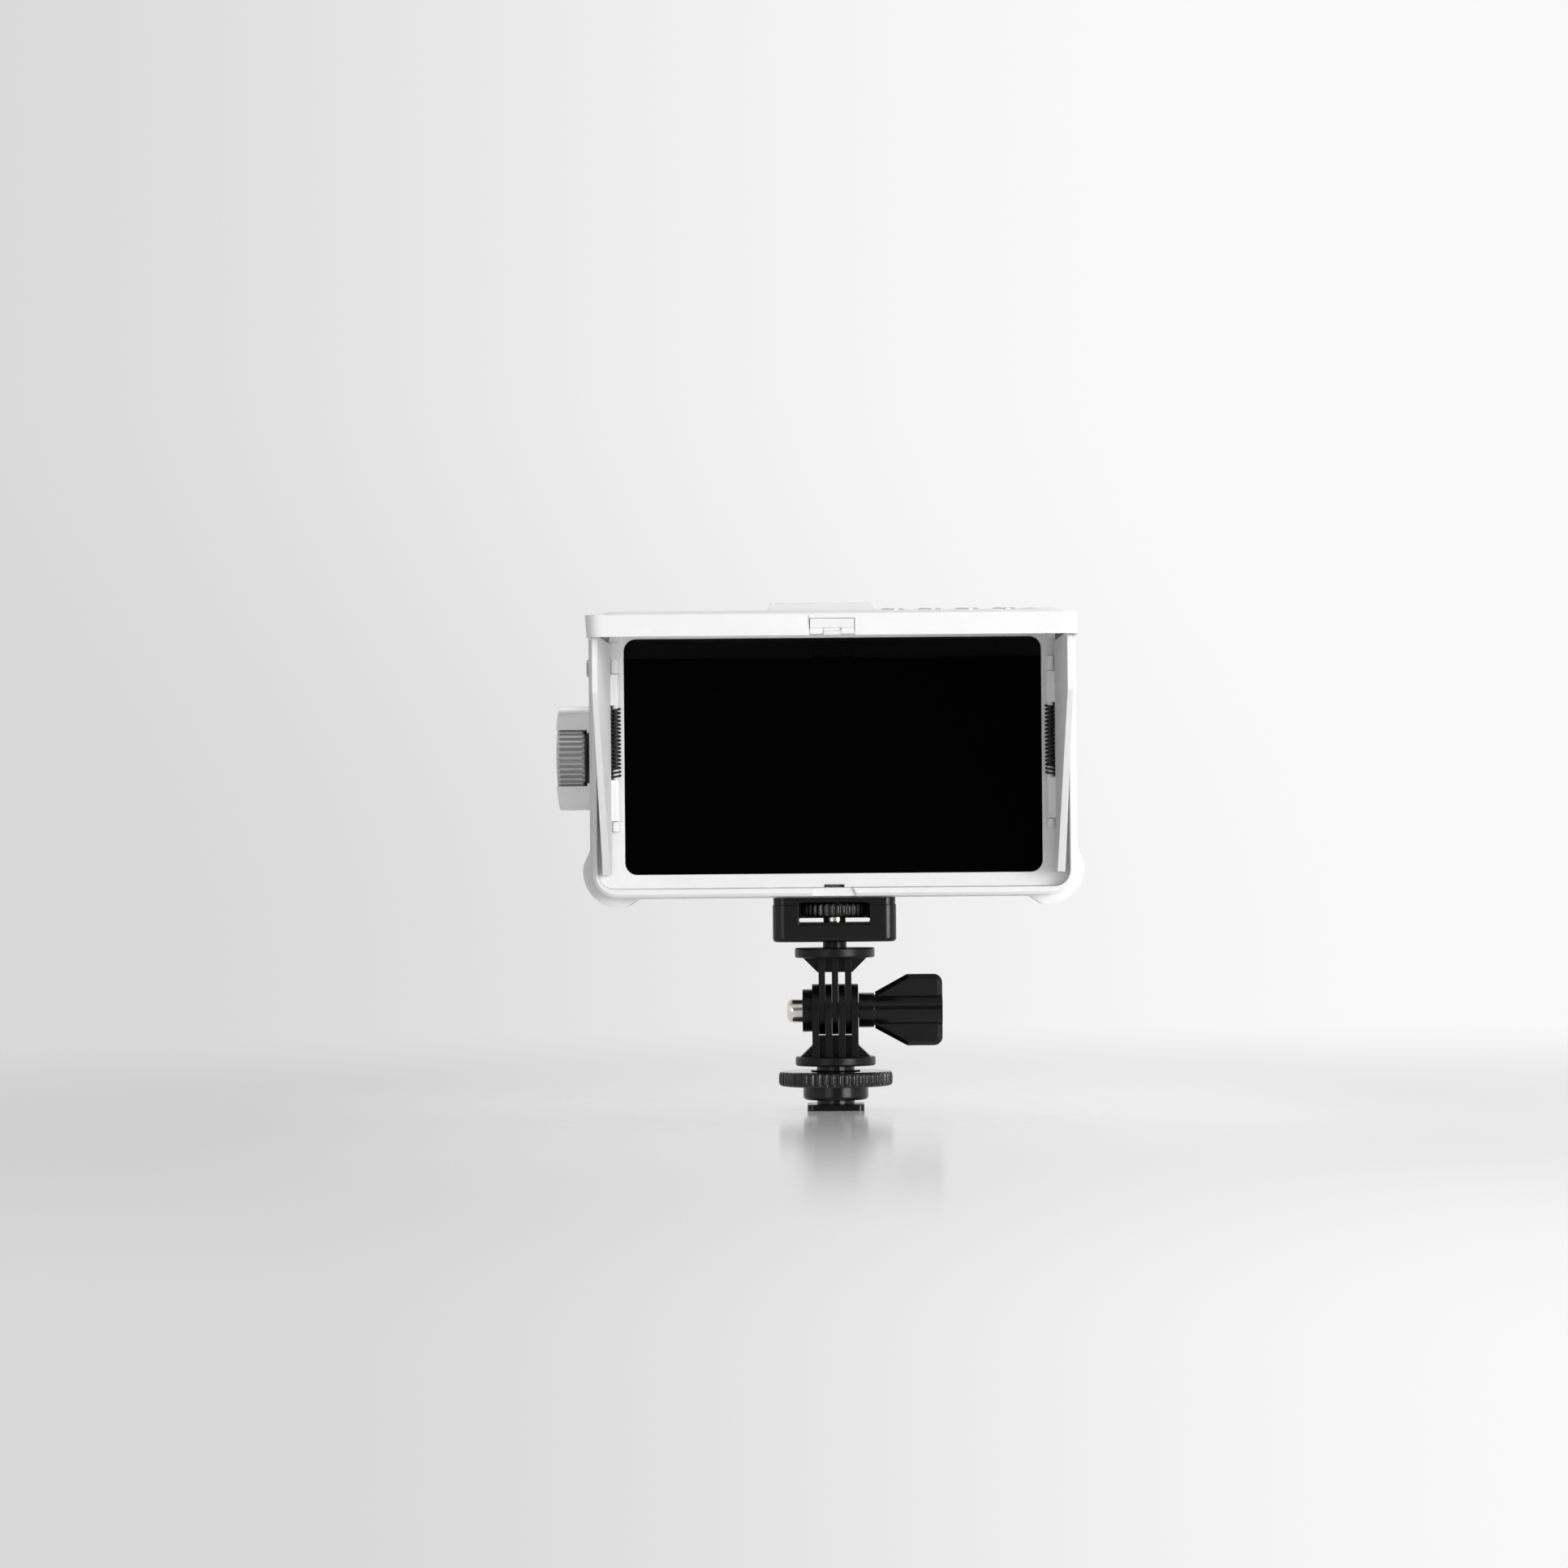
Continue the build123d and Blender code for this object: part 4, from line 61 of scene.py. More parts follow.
# ------------------------------------------------------------------ places shared, in millimetres
DIAL_CENTRE = (0, 2, 113.7)
KEY_FIRST_X = 19.5
KEY_SPACING = 12.0
KEY_Y = 2
QUARTER_INCH_R = 3.175
QUARTER_INCH_PITCH = 1.27


def metres(place):
    """A place given in millimetres."""
    return tuple(value * MM for value in place)


# ================================================================== shader maths
class Number:
    """One socket of a node tree, so that sums on sockets add their Math nodes."""

    def __init__(self, tree, socket):
        self.tree = tree
        self.socket = socket

    def math(self, operation, *others):
        node = self.tree.nodes.new("ShaderNodeMath")
        node.operation = operation
        for slot, value in zip(node.inputs, others):
            plug(self.tree, slot, value)
        return Number(self.tree, node.outputs[0])

    def __add__(self, other):
        return self.math("ADD", self, other)

    __radd__ = __add__

    def __sub__(self, other):
        return self.math("SUBTRACT", self, other)

    def __rsub__(self, other):
        return self.math("SUBTRACT", other, self)

    def __mul__(self, other):
        return self.math("MULTIPLY", self, other)

    __rmul__ = __mul__

    def __truediv__(self, other):
        return self.math("DIVIDE", self, other)


def plug(tree, slot, value):
    """Puts a number, a colour or another node's output into an input."""
    if isinstance(value, Number):
        tree.links.new(value.socket, slot)
    elif value is not None:
        slot.default_value = value


class Finish:
    """A material or a world under construction: a node tree and the one method that adds to it."""

    def __init__(self, name, kind=None):
        kind = bpy.data.materials if kind is None else kind
        self.block = kind.new(name)
        self.block.use_nodes = True
        self.tree = self.block.node_tree
        self.tree.nodes.clear()

    def node(self, kind, settings=None, values=None, out=0):
        """Adds a node of that kind: its settings first, then the values or links of its inputs."""
        made = self.tree.nodes.new("ShaderNode" + kind)
        for key, value in (settings or {}).items():
            setattr(made, key, value)
        for key, value in (values or {}).items():
            plug(self.tree, made.inputs[key], value)
        return Number(self.tree, made.outputs[out]) if made.outputs else None

    def place(self, centre=(0, 0, 0), turn=(0, 0, 0)):
        """Object coordinates, centred and turned."""
        here = self.node("TexCoord", out="Object")
        moved = self.node("VectorMath", {"operation": "SUBTRACT"}, {0: here, 1: centre})
        return self.node("Mapping", None, {"Vector": moved, "Rotation": turn})

    def noise(self, where, size, detail=2.0, rough=0.5, spread=0.0):
        """Noise from 0 to 1 whose blobs are about that size, in metres."""
        values = {"Vector": where, "Scale": 1 / size, "Detail": detail, "Roughness": rough}
        values["Distortion"] = spread
        return self.node("TexNoise", None, values)

    def blend(self, amount, first, second):
        """Mixes two colours."""
        return self.node(
            "Mix", {"data_type": "RGBA"}, {0: amount, 6: first, 7: second}, out=2
        )

    def window(self, value, low, high, to_low=0.0, to_high=1.0):
        """Maps low..high smoothly onto to_low..to_high and holds the ends."""
        values = {"Value": value, "From Min": low, "From Max": high}
        values.update({"To Min": to_low, "To Max": to_high})
        return self.node("MapRange", {"interpolation_type": "SMOOTHSTEP"}, values)

    def axes(self, where):
        """The three numbers of a vector."""
        split = self.tree.nodes.new("ShaderNodeSeparateXYZ")
        plug(self.tree, split.inputs[0], where)
        return [Number(self.tree, out) for out in split.outputs]

    def rounded(self, radius):
        """A normal that is softened over that radius at edges."""
        return self.node("Bevel", {"samples": 6}, {"Radius": radius})

    def bump(self, height, distance, normal=None):
        """A normal that is roughened by a height from 0 to 1, over that distance in metres."""
        values = {"Height": height, "Distance": distance, "Normal": normal}
        return self.node("Bump", None, values)

    def root(self, value):
        """A square root."""
        return self.node("Math", {"operation": "SQRT"}, {0: value})

    def larger(self, first, second):
        """The larger of two numbers."""
        return self.node("Math", {"operation": "MAXIMUM"}, {0: first, 1: second})

    def shown(self):
        """1 for what is seen straight, in a gloss or through glass, and 0 for what only lights."""
        seen = self.node("LightPath", out="Is Camera Ray")
        shiny = self.node("LightPath", out="Is Glossy Ray")
        through = self.node("LightPath", out="Is Transmission Ray")
        return self.larger(self.larger(seen, shiny), through)

    def surface(self, **values):
        """The shader itself, which ends the material."""
        named = {key.replace("_", " "): value for key, value in values.items()}
        shader = self.node("BsdfPrincipled", None, named)
        self.node("OutputMaterial", None, {"Surface": shader})
        return self.block


def grey(value):
    """A neutral colour."""
    return (value, value, value, 1.0)


# ================================================================== finishes
TOOL_PITCH = 0.12 * MM  # between the rings of a turning tool


def moulded(name, tone, gloss, grain=0.35 * MM, depth=0.010 * MM, edge=0.35 * MM, sheen=0.5):
    """Spark-eroded moulded plastic: a fine grain, faint flow marks and softly rubbed edges."""
    f = Finish(name)
    here = f.place()
    fine = f.noise(here, grain, detail=3.0)
    flow = f.noise(here, 22 * MM, detail=3.0, spread=1.2)
    smear = f.noise(here, 5 * MM, detail=4.0)
    shade = f.window(flow, 0.3, 0.7)
    base = f.blend(shade, grey(tone * 0.975), grey(tone))
    rough = f.window(smear + fine * 0.3, 0.35, 0.95, gloss - 0.05, gloss + 0.06)
    normal = f.bump(fine, depth, f.rounded(edge))
    return f.surface(Base_Color=base, Roughness=rough, Normal=normal, Specular_IOR_Level=sheen)


def powder_coat(name, tone, gloss):
    """Painted metal: a shallow orange peel under a fine speckle."""
    f = Finish(name)
    here = f.place()
    peel = f.noise(here, 1.1 * MM, detail=1.5)
    speck = f.noise(here, 0.18 * MM, detail=2.0)
    broad = f.noise(here, 30 * MM, detail=2.0)
    base = f.blend(f.window(broad, 0.35, 0.65), grey(tone * 0.98), grey(tone))
    height = peel * 0.7 + speck * 0.3
    rough = f.window(peel, 0.3, 0.7, gloss - 0.04, gloss + 0.05)
    normal = f.bump(height, 0.02 * MM, f.rounded(0.4 * MM))
    return f.surface(Base_Color=base, Roughness=rough, Normal=normal, Specular_IOR_Level=0.3)


def blasted_metal(name, tone, gloss, edge=0.45 * MM):
    """Bead-blasted, clear-anodised aluminium."""
    f = Finish(name)
    here = f.place()
    beads = f.noise(here, 0.16 * MM, detail=2.0, rough=0.65)
    cloud = f.noise(here, 4 * MM, detail=3.0)
    base = f.blend(f.window(beads, 0.3, 0.7), grey(tone * 0.9), grey(tone))
    rough = f.window(cloud, 0.3, 0.7, gloss - 0.04, gloss + 0.05)
    normal = f.bump(beads, 0.012 * MM, f.rounded(edge))
    return f.surface(Base_Color=base, Roughness=rough, Metallic=0.6, Normal=normal)


def turned_metal(name, tone, gloss, centre, turn=(0, 0, 0), edge=0.15 * MM):
    """Metal with fine tool rings around an axis, which the turn brings to Z."""
    f = Finish(name)
    here = f.place(centre, turn)
    x, y, z = f.axes(here)
    radius = f.root(x * x + y * y)
    rings = f.node("Math", {"operation": "SINE"}, {0: radius * (2 * math.pi / TOOL_PITCH)})
    scratch = f.noise(here, 0.6 * MM, detail=4.0)
    base = f.blend(scratch, grey(tone * 0.86), grey(tone))
    rough = f.window(scratch, 0.25, 0.75, gloss - 0.05, gloss + 0.08)
    normal = f.bump(rings * 0.3 + scratch * 0.4, 0.004 * MM, f.rounded(edge))
    return f.surface(Base_Color=base, Roughness=rough, Metallic=1.0, Normal=normal)


def plain_metal(name, colour, gloss, metallic=1.0):
    """Drawn or plated metal with small scratches and a mottled polish."""
    f = Finish(name)
    here = f.place()
    scratch = f.noise(here, 0.35 * MM, detail=5.0, rough=0.7)
    patch = f.noise(here, 3 * MM, detail=2.0)
    dark = tuple(c * 0.8 for c in colour[:3]) + (1.0,)
    base = f.blend(f.window(patch + scratch * 0.4, 0.4, 1.0), dark, colour)
    rough = f.window(scratch, 0.3, 0.8, gloss * 0.7, gloss * 1.4)
    normal = f.bump(scratch, 0.003 * MM, f.rounded(0.12 * MM))
    return f.surface(Base_Color=base, Roughness=rough, Metallic=metallic, Normal=normal)


def dial_base_finish(name):
    """Blasted silver plate whose middle, behind the dial, is painted black as painted shade for
    the gap round the dial.
    """
    f = Finish(name)
    here = f.place(metres(DIAL_CENTRE))
    x, y, z = f.axes(here)
    radius = f.root(y * y + z * z)
    beads = f.noise(here, 0.16 * MM, rough=0.65)
    # the middle is painted black: painted shade where the gap round the dial falls dark
    middle = f.window(radius, 13.2 * MM, 13.5 * MM, 1.0, 0.0)
    silver = f.blend(f.window(beads, 0.3, 0.7), grey(0.76), grey(0.84))
    base = f.blend(middle, silver, grey(0.008))
    normal = f.bump(beads, 0.012 * MM)
    metal = 0.6 - middle * 0.6
    return f.surface(Base_Color=base, Roughness=0.42, Metallic=metal, Normal=normal)


def cover_glass_finish(name):
    """Black-backed cover glass with a barely visible bloom of fingertip haze."""
    f = Finish(name)
    here = f.place()
    haze = f.noise(here, 18 * MM, detail=5.0, spread=0.8)
    rough = f.window(haze, 0.45, 0.75, 0.012, 0.03)
    base = f.blend(haze, (0.0006, 0.0006, 0.0007, 1), (0.0009, 0.0009, 0.0010, 1))
    return f.surface(Base_Color=base, Roughness=rough, IOR=1.5, Specular_IOR_Level=0.12)


def circuit_board(name):
    """Green solder mask over a grid of traces, with tinned pads."""
    f = Finish(name)
    here = f.place()
    cell = f.node(
        "TexVoronoi",
        {"feature": "DISTANCE_TO_EDGE", "distance": "MANHATTAN"},
        {"Vector": here, "Scale": 1 / (2.4 * MM)},
    )
    trace = f.window(cell, 0.05, 0.09, 1.0, 0.0)
    base = f.blend(trace, (0.01, 0.085, 0.035, 1), (0.03, 0.17, 0.08, 1))
    normal = f.bump(trace, 0.03 * MM)
    return f.surface(Base_Color=base, Roughness=f.window(cell, 0.0, 0.3, 0.3, 0.45), Normal=normal)


def paint(material, *names):
    """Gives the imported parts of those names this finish."""
    for name in names:
        mesh = nodes[name].data
        mesh.materials.clear()
        mesh.materials.append(material)


# ================================================================== turned pieces
def turned(name, loop, around, relief=None, place=(0, 0, 0), along_x=False):
    """Surface turned from a loop: point (i, j) has the loop's radius i less the relief there,
    at the angle j of a full turn, and the loop's height i along the axis."""
    radius, height = np.asarray(loop, dtype=float).T
    angle = np.linspace(0, 2 * np.pi, around, endpoint=False)
    r = np.repeat(radius[:, None], around, axis=1)
    h = np.repeat(height[:, None], around, axis=1)
    if relief is not None:
        r = r - relief(angle[None, :], r, h)
    across, up = r * np.cos(angle), r * np.sin(angle)
    points = np.stack([h, across, up] if along_x else [across, up, h], axis=-1)
    points = (points + np.asarray(place)) * MM
    solid = radius[0] == 0  # a loop that starts on the axis ends there too, and needs no bore
    return grid_piece(name, points, wrap_rows=not solid, wrap_columns=True)


def grid_piece(name, points, wrap_rows=False, wrap_columns=False):
    """An object from a grid of points, one quad for each cell, merged at seams and poles."""
    rows, columns = points.shape[:2]
    index = np.arange(rows * columns).reshape(rows, columns)
    if wrap_rows:
        index = np.vstack([index, index[:1]])
    if wrap_columns:
        index = np.hstack([index, index[:, :1]])
    quads = np.stack([index[:-1, :-1], index[:-1, 1:], index[1:, 1:], index[1:, :-1]], axis=-1)
    mesh = bpy.data.meshes.new(name)
    mesh.from_pydata(points.reshape(-1, 3).tolist(), [], quads.reshape(-1, 4).tolist())
    shell = bmesh.new()
    shell.from_mesh(mesh)
    bmesh.ops.remove_doubles(shell, verts=shell.verts, dist=1e-7)
    if wrap_columns:
        bmesh.ops.recalc_face_normals(shell, faces=shell.faces)
    shell.to_mesh(mesh)
    shell.free()
    mesh.shade_smooth()
    mesh.set_sharp_from_angle(angle=math.radians(38))
    made = bpy.data.objects.new(name, mesh)
    bpy.context.scene.collection.objects.link(made)
    return made


def rounded_loop(corners, steps=5):
    """A closed loop of (radius, height) corners, each (r, h, rounding) cut by a quarter-like arc:
    the arc runs from one side to the other as start (1 - t)^2 + corner 2 t (1 - t) + end t^2."""
    points = np.array([corner[:2] for corner in corners], dtype=float)
    rounding = np.array([corner[2] for corner in corners], dtype=float)[:, None]
    back = np.roll(points, 1, axis=0) - points
    ahead = np.roll(points, -1, axis=0) - points
    start = points + back / np.linalg.norm(back, axis=1)[:, None] * rounding
    end = points + ahead / np.linalg.norm(ahead, axis=1)[:, None] * rounding
    t = np.linspace(0, 1, steps)[None, :, None]
    arcs = start[:, None] * (1 - t) ** 2 + points[:, None] * 2 * t * (1 - t) + end[:, None] * t**2
    return arcs.reshape(-1, 2)


def dense(loop, longest):
    """Adds points along a loop's longer sides, so that none is longer than that."""
    loop = np.asarray(loop, dtype=float)
    sides = np.roll(loop, -1, axis=0) - loop
    counts = np.maximum(1, np.ceil(np.linalg.norm(sides, axis=1) / longest)).astype(int)
    first = np.repeat(np.arange(len(loop)), counts)
    step = np.arange(counts.sum()) - np.repeat(np.cumsum(counts) - counts, counts)
    return loop[first] + sides[first] * (step / np.repeat(counts, counts))[:, None]


def smooth_step(value, low, high):
    """0 below low, 1 above high, and 3 t^2 - 2 t^3 between."""
    t = np.clip((value - low) / (high - low), 0, 1)
    return t * t * (3 - 2 * t)


def grip_ribs(count, depth, low, high, fade, rim):
    """Relief of a finger grip: between rounded ribs, each a lobe (1 - |2 p / width|^2)^0.5 of the
    pitch p, the rim is cut down by the depth; the cut fades out near the two faces."""

    def relief(angle, r, h):
        pitch = (angle * count / (2 * np.pi)) % 1 - 0.5
        lobe = np.sqrt(np.clip(1 - (pitch / 0.36) ** 2, 0, 1))
        ends = smooth_step(h, low, low + fade) * (1 - smooth_step(h, high - fade, high))
        return depth * (1 - lobe) * ends * smooth_step(r, rim - 2.0, rim - 1.0)

    return relief


def screw_thread(pitch, depth, low, high, major, inward=False):
    """Relief of a thread: a triangle wave of (height / pitch - turns), of that depth, which fades
    in and out over half a pitch; inward cuts it into a bore instead of out of a shank."""

    def relief(angle, r, h):
        turns = angle / (2 * np.pi)
        wave = np.abs(((h / pitch - turns) % 1) * 2 - 1)
        ends = smooth_step(h, low, low + pitch / 2) * (1 - smooth_step(h, high - pitch / 2, high))
        cut = depth * wave * ends * (np.abs(r - major) < 0.05)
        return -cut if inward else cut

    return relief


# ================================================================== the parts' finishes
WHITE = 0.88
paint(
    moulded("hood_white", WHITE, 0.56, depth=0.014 * MM, sheen=0.3),
    "hood_frame",
    "hood_lid",
    "left_flap",
    "right_flap",
)
paint(moulded("latch_white", WHITE * 0.98, 0.48, grain=0.2 * MM, sheen=0.3), "lid_latch_button")
paint(powder_coat("case_white", WHITE * 0.98, 0.52), "rear_case")
paint(moulded("power_key_white", WHITE * 0.97, 0.45, grain=0.2 * MM, sheen=0.3), "power_button")
paint(cover_glass_finish("cover_glass_black"), "cover_glass")
paint(moulded("panel_black", 0.01, 0.3), "lcd_panel")
paint(
    blasted_metal("guard_silver", 0.84, 0.44, edge=0.06 * MM),
    "dial_guard_upper",
    "dial_guard_lower",
)
paint(dial_base_finish("dial_base_silver"), "dial_base")
DIAL_SILVER = turned_metal(
    "dial_silver", 0.52, 0.34, metres(DIAL_CENTRE), (0, math.pi / 2, 0), edge=0.06 * MM
)
paint(moulded("liner_black", 0.012, 0.5), "dial_encoder", "side_switch")
paint(
    moulded(
        "mount_black", 0.004, 0.20, grain=0.3 * MM, depth=0.006 * MM, edge=0.25 * MM, sheen=0.31
    ),
    "mount_box",
    "mount_top_plate",
    "thumb_knob",
    "clamp_collar",
    "shoe_foot",
)
paint(
    moulded(
        "prong_black", 0.004, 0.30, grain=0.22 * MM, depth=0.012 * MM, edge=0.2 * MM, sheen=0.22
    ),
    "upper_arm",
    "lower_fork",
)
paint(moulded("pad_rubber_black", 0.015, 0.7, grain=0.6 * MM, depth=0.03 * MM), "mount_pad")
paint(moulded("plate_black", 0.02, 0.42), "battery_plate")
paint(moulded("release_grey", 0.12, 0.4), "battery_release")
paint(blasted_metal("side_key_grey", 0.45, 0.38), "side_button")
for number in range(1, 5):
    key_middle = metres((KEY_FIRST_X + KEY_SPACING * (number - 1), KEY_Y, 0))
    paint(
        turned_metal(f"key_silver_{number}", 0.60, 0.30, key_middle),
        f"top_button_{number}",
    )
paint(plain_metal("nut_chrome", (0.96, 0.91, 0.86, 1), 0.24), "cap_nut")
paint(
    plain_metal("spring_black", (0.008, 0.008, 0.008, 1), 0.36, metallic=0.0),
    "left_flap_spring",
    "right_flap_spring",
)
paint(
    plain_metal("spring_nickel", (0.80, 0.80, 0.78, 1), 0.42, metallic=0.4),
    "left_lid_spring",
    "right_lid_spring",
)
paint(
    plain_metal("pin_steel", (0.6, 0.6, 0.61, 1), 0.25),
    "left_lid_pin",
    "right_lid_pin",
    "dial_shaft",
    "chassis_plate",
)
paint(
    plain_metal("pin_blackened", (0.01, 0.01, 0.01, 1), 0.4, metallic=0.0),
    "left_flap_pin",
    "right_flap_pin",
)
paint(
    plain_metal("screw_dark", (0.10, 0.10, 0.11, 1), 0.3),
    "case_screws",
    "battery_screws",
    "swivel_bolt",
    "pivot_bolt",
)
paint(plain_metal("contact_gold", (0.90, 0.68, 0.30, 1), 0.2), "battery_contacts")
paint(plain_metal("socket_shell", (0.7, 0.7, 0.7, 1), 0.22), "hdmi_socket", "usb_socket")
paint(moulded("socket_black", 0.015, 0.3), "power_socket", "headphone_socket")
paint(circuit_board("board_green"), "main_board", "socket_board", "button_board")


# ================================================================== wheels, screw and inserts
def dress(piece, node, body, material):
    """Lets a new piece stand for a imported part."""
    piece.data.materials.append(material)
    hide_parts(node)
    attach(piece, body)


def grip_black(name, polished_from, polished_to):
    """Black moulding whose ribs are satin and whose top, above a height, is polished."""
    f = Finish(name)
    here = f.place()
    x, y, z = f.axes(here)
    fine = f.noise(here, 0.3 * MM, detail=3.0)
    smear = f.noise(here, 4 * MM, detail=4.0)
    top = f.window(z, polished_from, polished_to)
    base = f.blend(f.window(smear, 0.3, 0.7), grey(0.0042), grey(0.0055))
    rough = f.window(smear, 0.3, 0.7, 0.20, 0.28) - top * 0.14
    normal = f.bump(fine * (1 - top), 0.005 * MM)
    return f.surface(Base_Color=base, Roughness=rough, Normal=normal, Specular_IOR_Level=0.4)


LOCK_BLACK = grip_black("lock_wheel_black", 12.2 * MM, 12.45 * MM)
FINGER_BLACK = grip_black("finger_wheel_black", 66.4 * MM, 66.55 * MM)

# shoe's locking wheel: a flat ring inside, ribs round the rim
LOCK_LOW, LOCK_HIGH, LOCK_R, LOCK_BORE = 7.72, 12.9, 18.34, 6.16
lock_loop = rounded_loop(
    [
        (LOCK_BORE, LOCK_LOW, 0.2),
        (LOCK_R, LOCK_LOW, 1.5),
        (LOCK_R, 12.5, 1.5),
        (8.1, 12.5, 0.05),
        (7.9, LOCK_HIGH, 0.15),
        (LOCK_BORE, LOCK_HIGH, 0.2),
    ]
)
dress(
    turned(
        "locking_wheel_ribbed",
        dense(lock_loop, 0.4),
        48 * 14,
        grip_ribs(48, 0.62, 7.85, 12.4, 0.8, LOCK_R),
    ),
    "locking_wheel",
    "lock_wheel",
    LOCK_BLACK,
)

# mounting screw's finger wheel
FINGER_LOW, FINGER_HIGH, FINGER_R, FINGER_BORE = 62.2, 66.6, 10.74, 3.2
finger_loop = rounded_loop(
    [
        (FINGER_BORE, FINGER_LOW, 0.1),
        (FINGER_R - 0.55, FINGER_LOW, 0.4),
        (FINGER_R, 62.9, 0.5),
        (FINGER_R, 65.9, 0.5),
        (FINGER_R - 0.55, FINGER_HIGH, 0.4),
        (FINGER_BORE, FINGER_HIGH, 0.1),
    ]
)
dress(
    turned(
        "finger_wheel_ribbed",
        dense(finger_loop, 0.4),
        32 * 14,
        grip_ribs(32, 0.6, 62.35, 66.45, 0.8, FINGER_R),
    ),
    "screw_wheel",
    "mounting_screw",
    FINGER_BLACK,
)

# quarter-inch screw: collar, threaded shank and a bevelled tip
SCREW = plain_metal("screw_zinc", (0.66, 0.62, 0.52, 1), 0.22)
screw_loop = np.vstack(
    [
        [(0, 60.42), (3.4, 60.42), (3.65, 60.67), (3.65, 61.95), (3.4, 62.2)],
        [(QUARTER_INCH_R, 62.2)],
        np.column_stack([np.full(92, QUARTER_INCH_R), np.linspace(62.25, 73.8, 92)]),
        [(2.6, 74.4), (0, 74.4)],
    ]
)
dress(
    turned(
        "mounting_screw_threaded",
        screw_loop,
        48,
        screw_thread(QUARTER_INCH_PITCH, 0.55, 66.6, 73.9, QUARTER_INCH_R),
    ),
    "mount_screw",
    "mounting_screw",
    SCREW,
)


def thread_insert(name, node, low, high, place, material):
    """Bush with a threaded bore: a rounded wall whose bore carries the thread."""
    bore = np.column_stack([np.full(76, QUARTER_INCH_R), np.linspace(high - 0.3, low + 0.3, 76)])
    thread = screw_thread(
        QUARTER_INCH_PITCH, 0.5, low + 0.3, high - 0.3, QUARTER_INCH_R, inward=True
    )
    rest = [(3.5, low), (4.4, low), (4.6, low + 0.2), (4.6, high - 0.2), (4.4, high), (3.6, high)]
    dress(
        turned(name, np.vstack([rest, bore]), 48, thread, place),
        node,
        "monitor",
        material,
    )


BRASS = plain_metal("insert_brass", (0.80, 0.60, 0.30, 1), 0.28)
STEEL = plain_metal("insert_steel", (0.60, 0.60, 0.60, 1), 0.28)
thread_insert(
    "base_insert_threaded", "base_thread_insert", 68.4, 75.8, (0, 0, 0), BRASS
)
thread_insert(
    "top_insert_threaded", "top_thread_insert", 155.9, 162.9, (-3.7, 3.0, 0), STEEL
)


DIAL_RIBS = 47


def dial_ribs(count, depth, inner, outer):
    """Relief of the dial: between rounded ribs, each a lobe of the pitch, the rim is cut down by
    the depth, but for a low ridge along the middle of each groove."""

    def relief(angle, r, x):
        pitch = (angle * count / (2 * np.pi)) % 1 - 0.5
        rib = np.clip(1 - (pitch / 0.25) ** 4, 0, 1) ** 0.5
        ridge = 0.32 * np.clip(1 - ((np.abs(pitch) - 0.5) / 0.11) ** 2, 0, 1)
        ends = smooth_step(x, outer, outer + 0.5) * (1 - smooth_step(x, inner - 0.5, inner))
        return depth * (1 - np.maximum(rib, ridge)) * ends * smooth_step(r, 12.3, 12.7)

    return relief


def dial():
    """Dial turned about its own axis: a blind bore, a ribbed rim with bevelled ends, and a face
    of radius 95 whose height is 95 - (95^2 - r^2)^0.5."""
    rim = 13.28
    face = np.linspace(12.6, 0, 40)
    dome = -89.1 + 95 - np.sqrt(95**2 - face**2)
    start = [(0, -84.3), (3.02, -84.3), (3.02, -79.5), (12.0, -79.5), (12.6, -79.5)]
    side = np.linspace(-80.2, -87.5, 24)
    loop = np.vstack(
        [start, np.column_stack([np.full(24, rim), side]), np.column_stack([face, dome])]
    )
    relief = dial_ribs(DIAL_RIBS, 0.62, -79.6, -87.9)
    wheel = turned("dial_ribbed", loop, DIAL_RIBS * 16, relief, DIAL_CENTRE, along_x=True)
    dress(wheel, "dial_wheel", "dial", DIAL_SILVER)


dial()


def dial_gap_shade_ring():
    """Black ring between the dial and its base, put there as painted shade for that gap: a rounded
    rectangle turned about the axis.
    """
    loop = rounded_loop(
        [(3.4, -78.84, 0.05), (3.4, -79.42, 0.05), (12.5, -79.42, 0.15), (12.5, -78.84, 0.15)]
    )
    # a black ring that paints the shade in the gap behind the dial
    ring = turned("dial_gap_shade_ring", loop, 120, place=DIAL_CENTRE, along_x=True)
    ring.data.materials.append(bpy.data.materials["liner_black"])
    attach(ring, "monitor")


dial_gap_shade_ring()


# ================================================================== studio
def sweep_floor():
    """Floor that curves up into a wall: straight, a quarter circle, then straight up."""
    side = np.linspace(-FLOOR_HALF_W, FLOOR_HALF_W, 5)
    flat = np.linspace(FLOOR_FRONT, WALL_Y - CORNER_R, 9)
    turn = np.linspace(0, math.pi / 2, 17)[1:]
    rise = np.linspace(CORNER_R, WALL_HEIGHT, 5)[1:]
    y = np.concatenate(
        [flat, WALL_Y - CORNER_R + CORNER_R * np.sin(turn), np.full(rise.size, WALL_Y)]
    )
    z = np.concatenate([np.zeros(flat.size), CORNER_R * (1 - np.cos(turn)), rise])
    grid = np.empty((y.size, side.size, 3))
    grid[..., 0] = side[None, :]
    grid[..., 1] = y[:, None]
    grid[..., 2] = z[:, None]
    return grid_piece("studio_floor", grid)


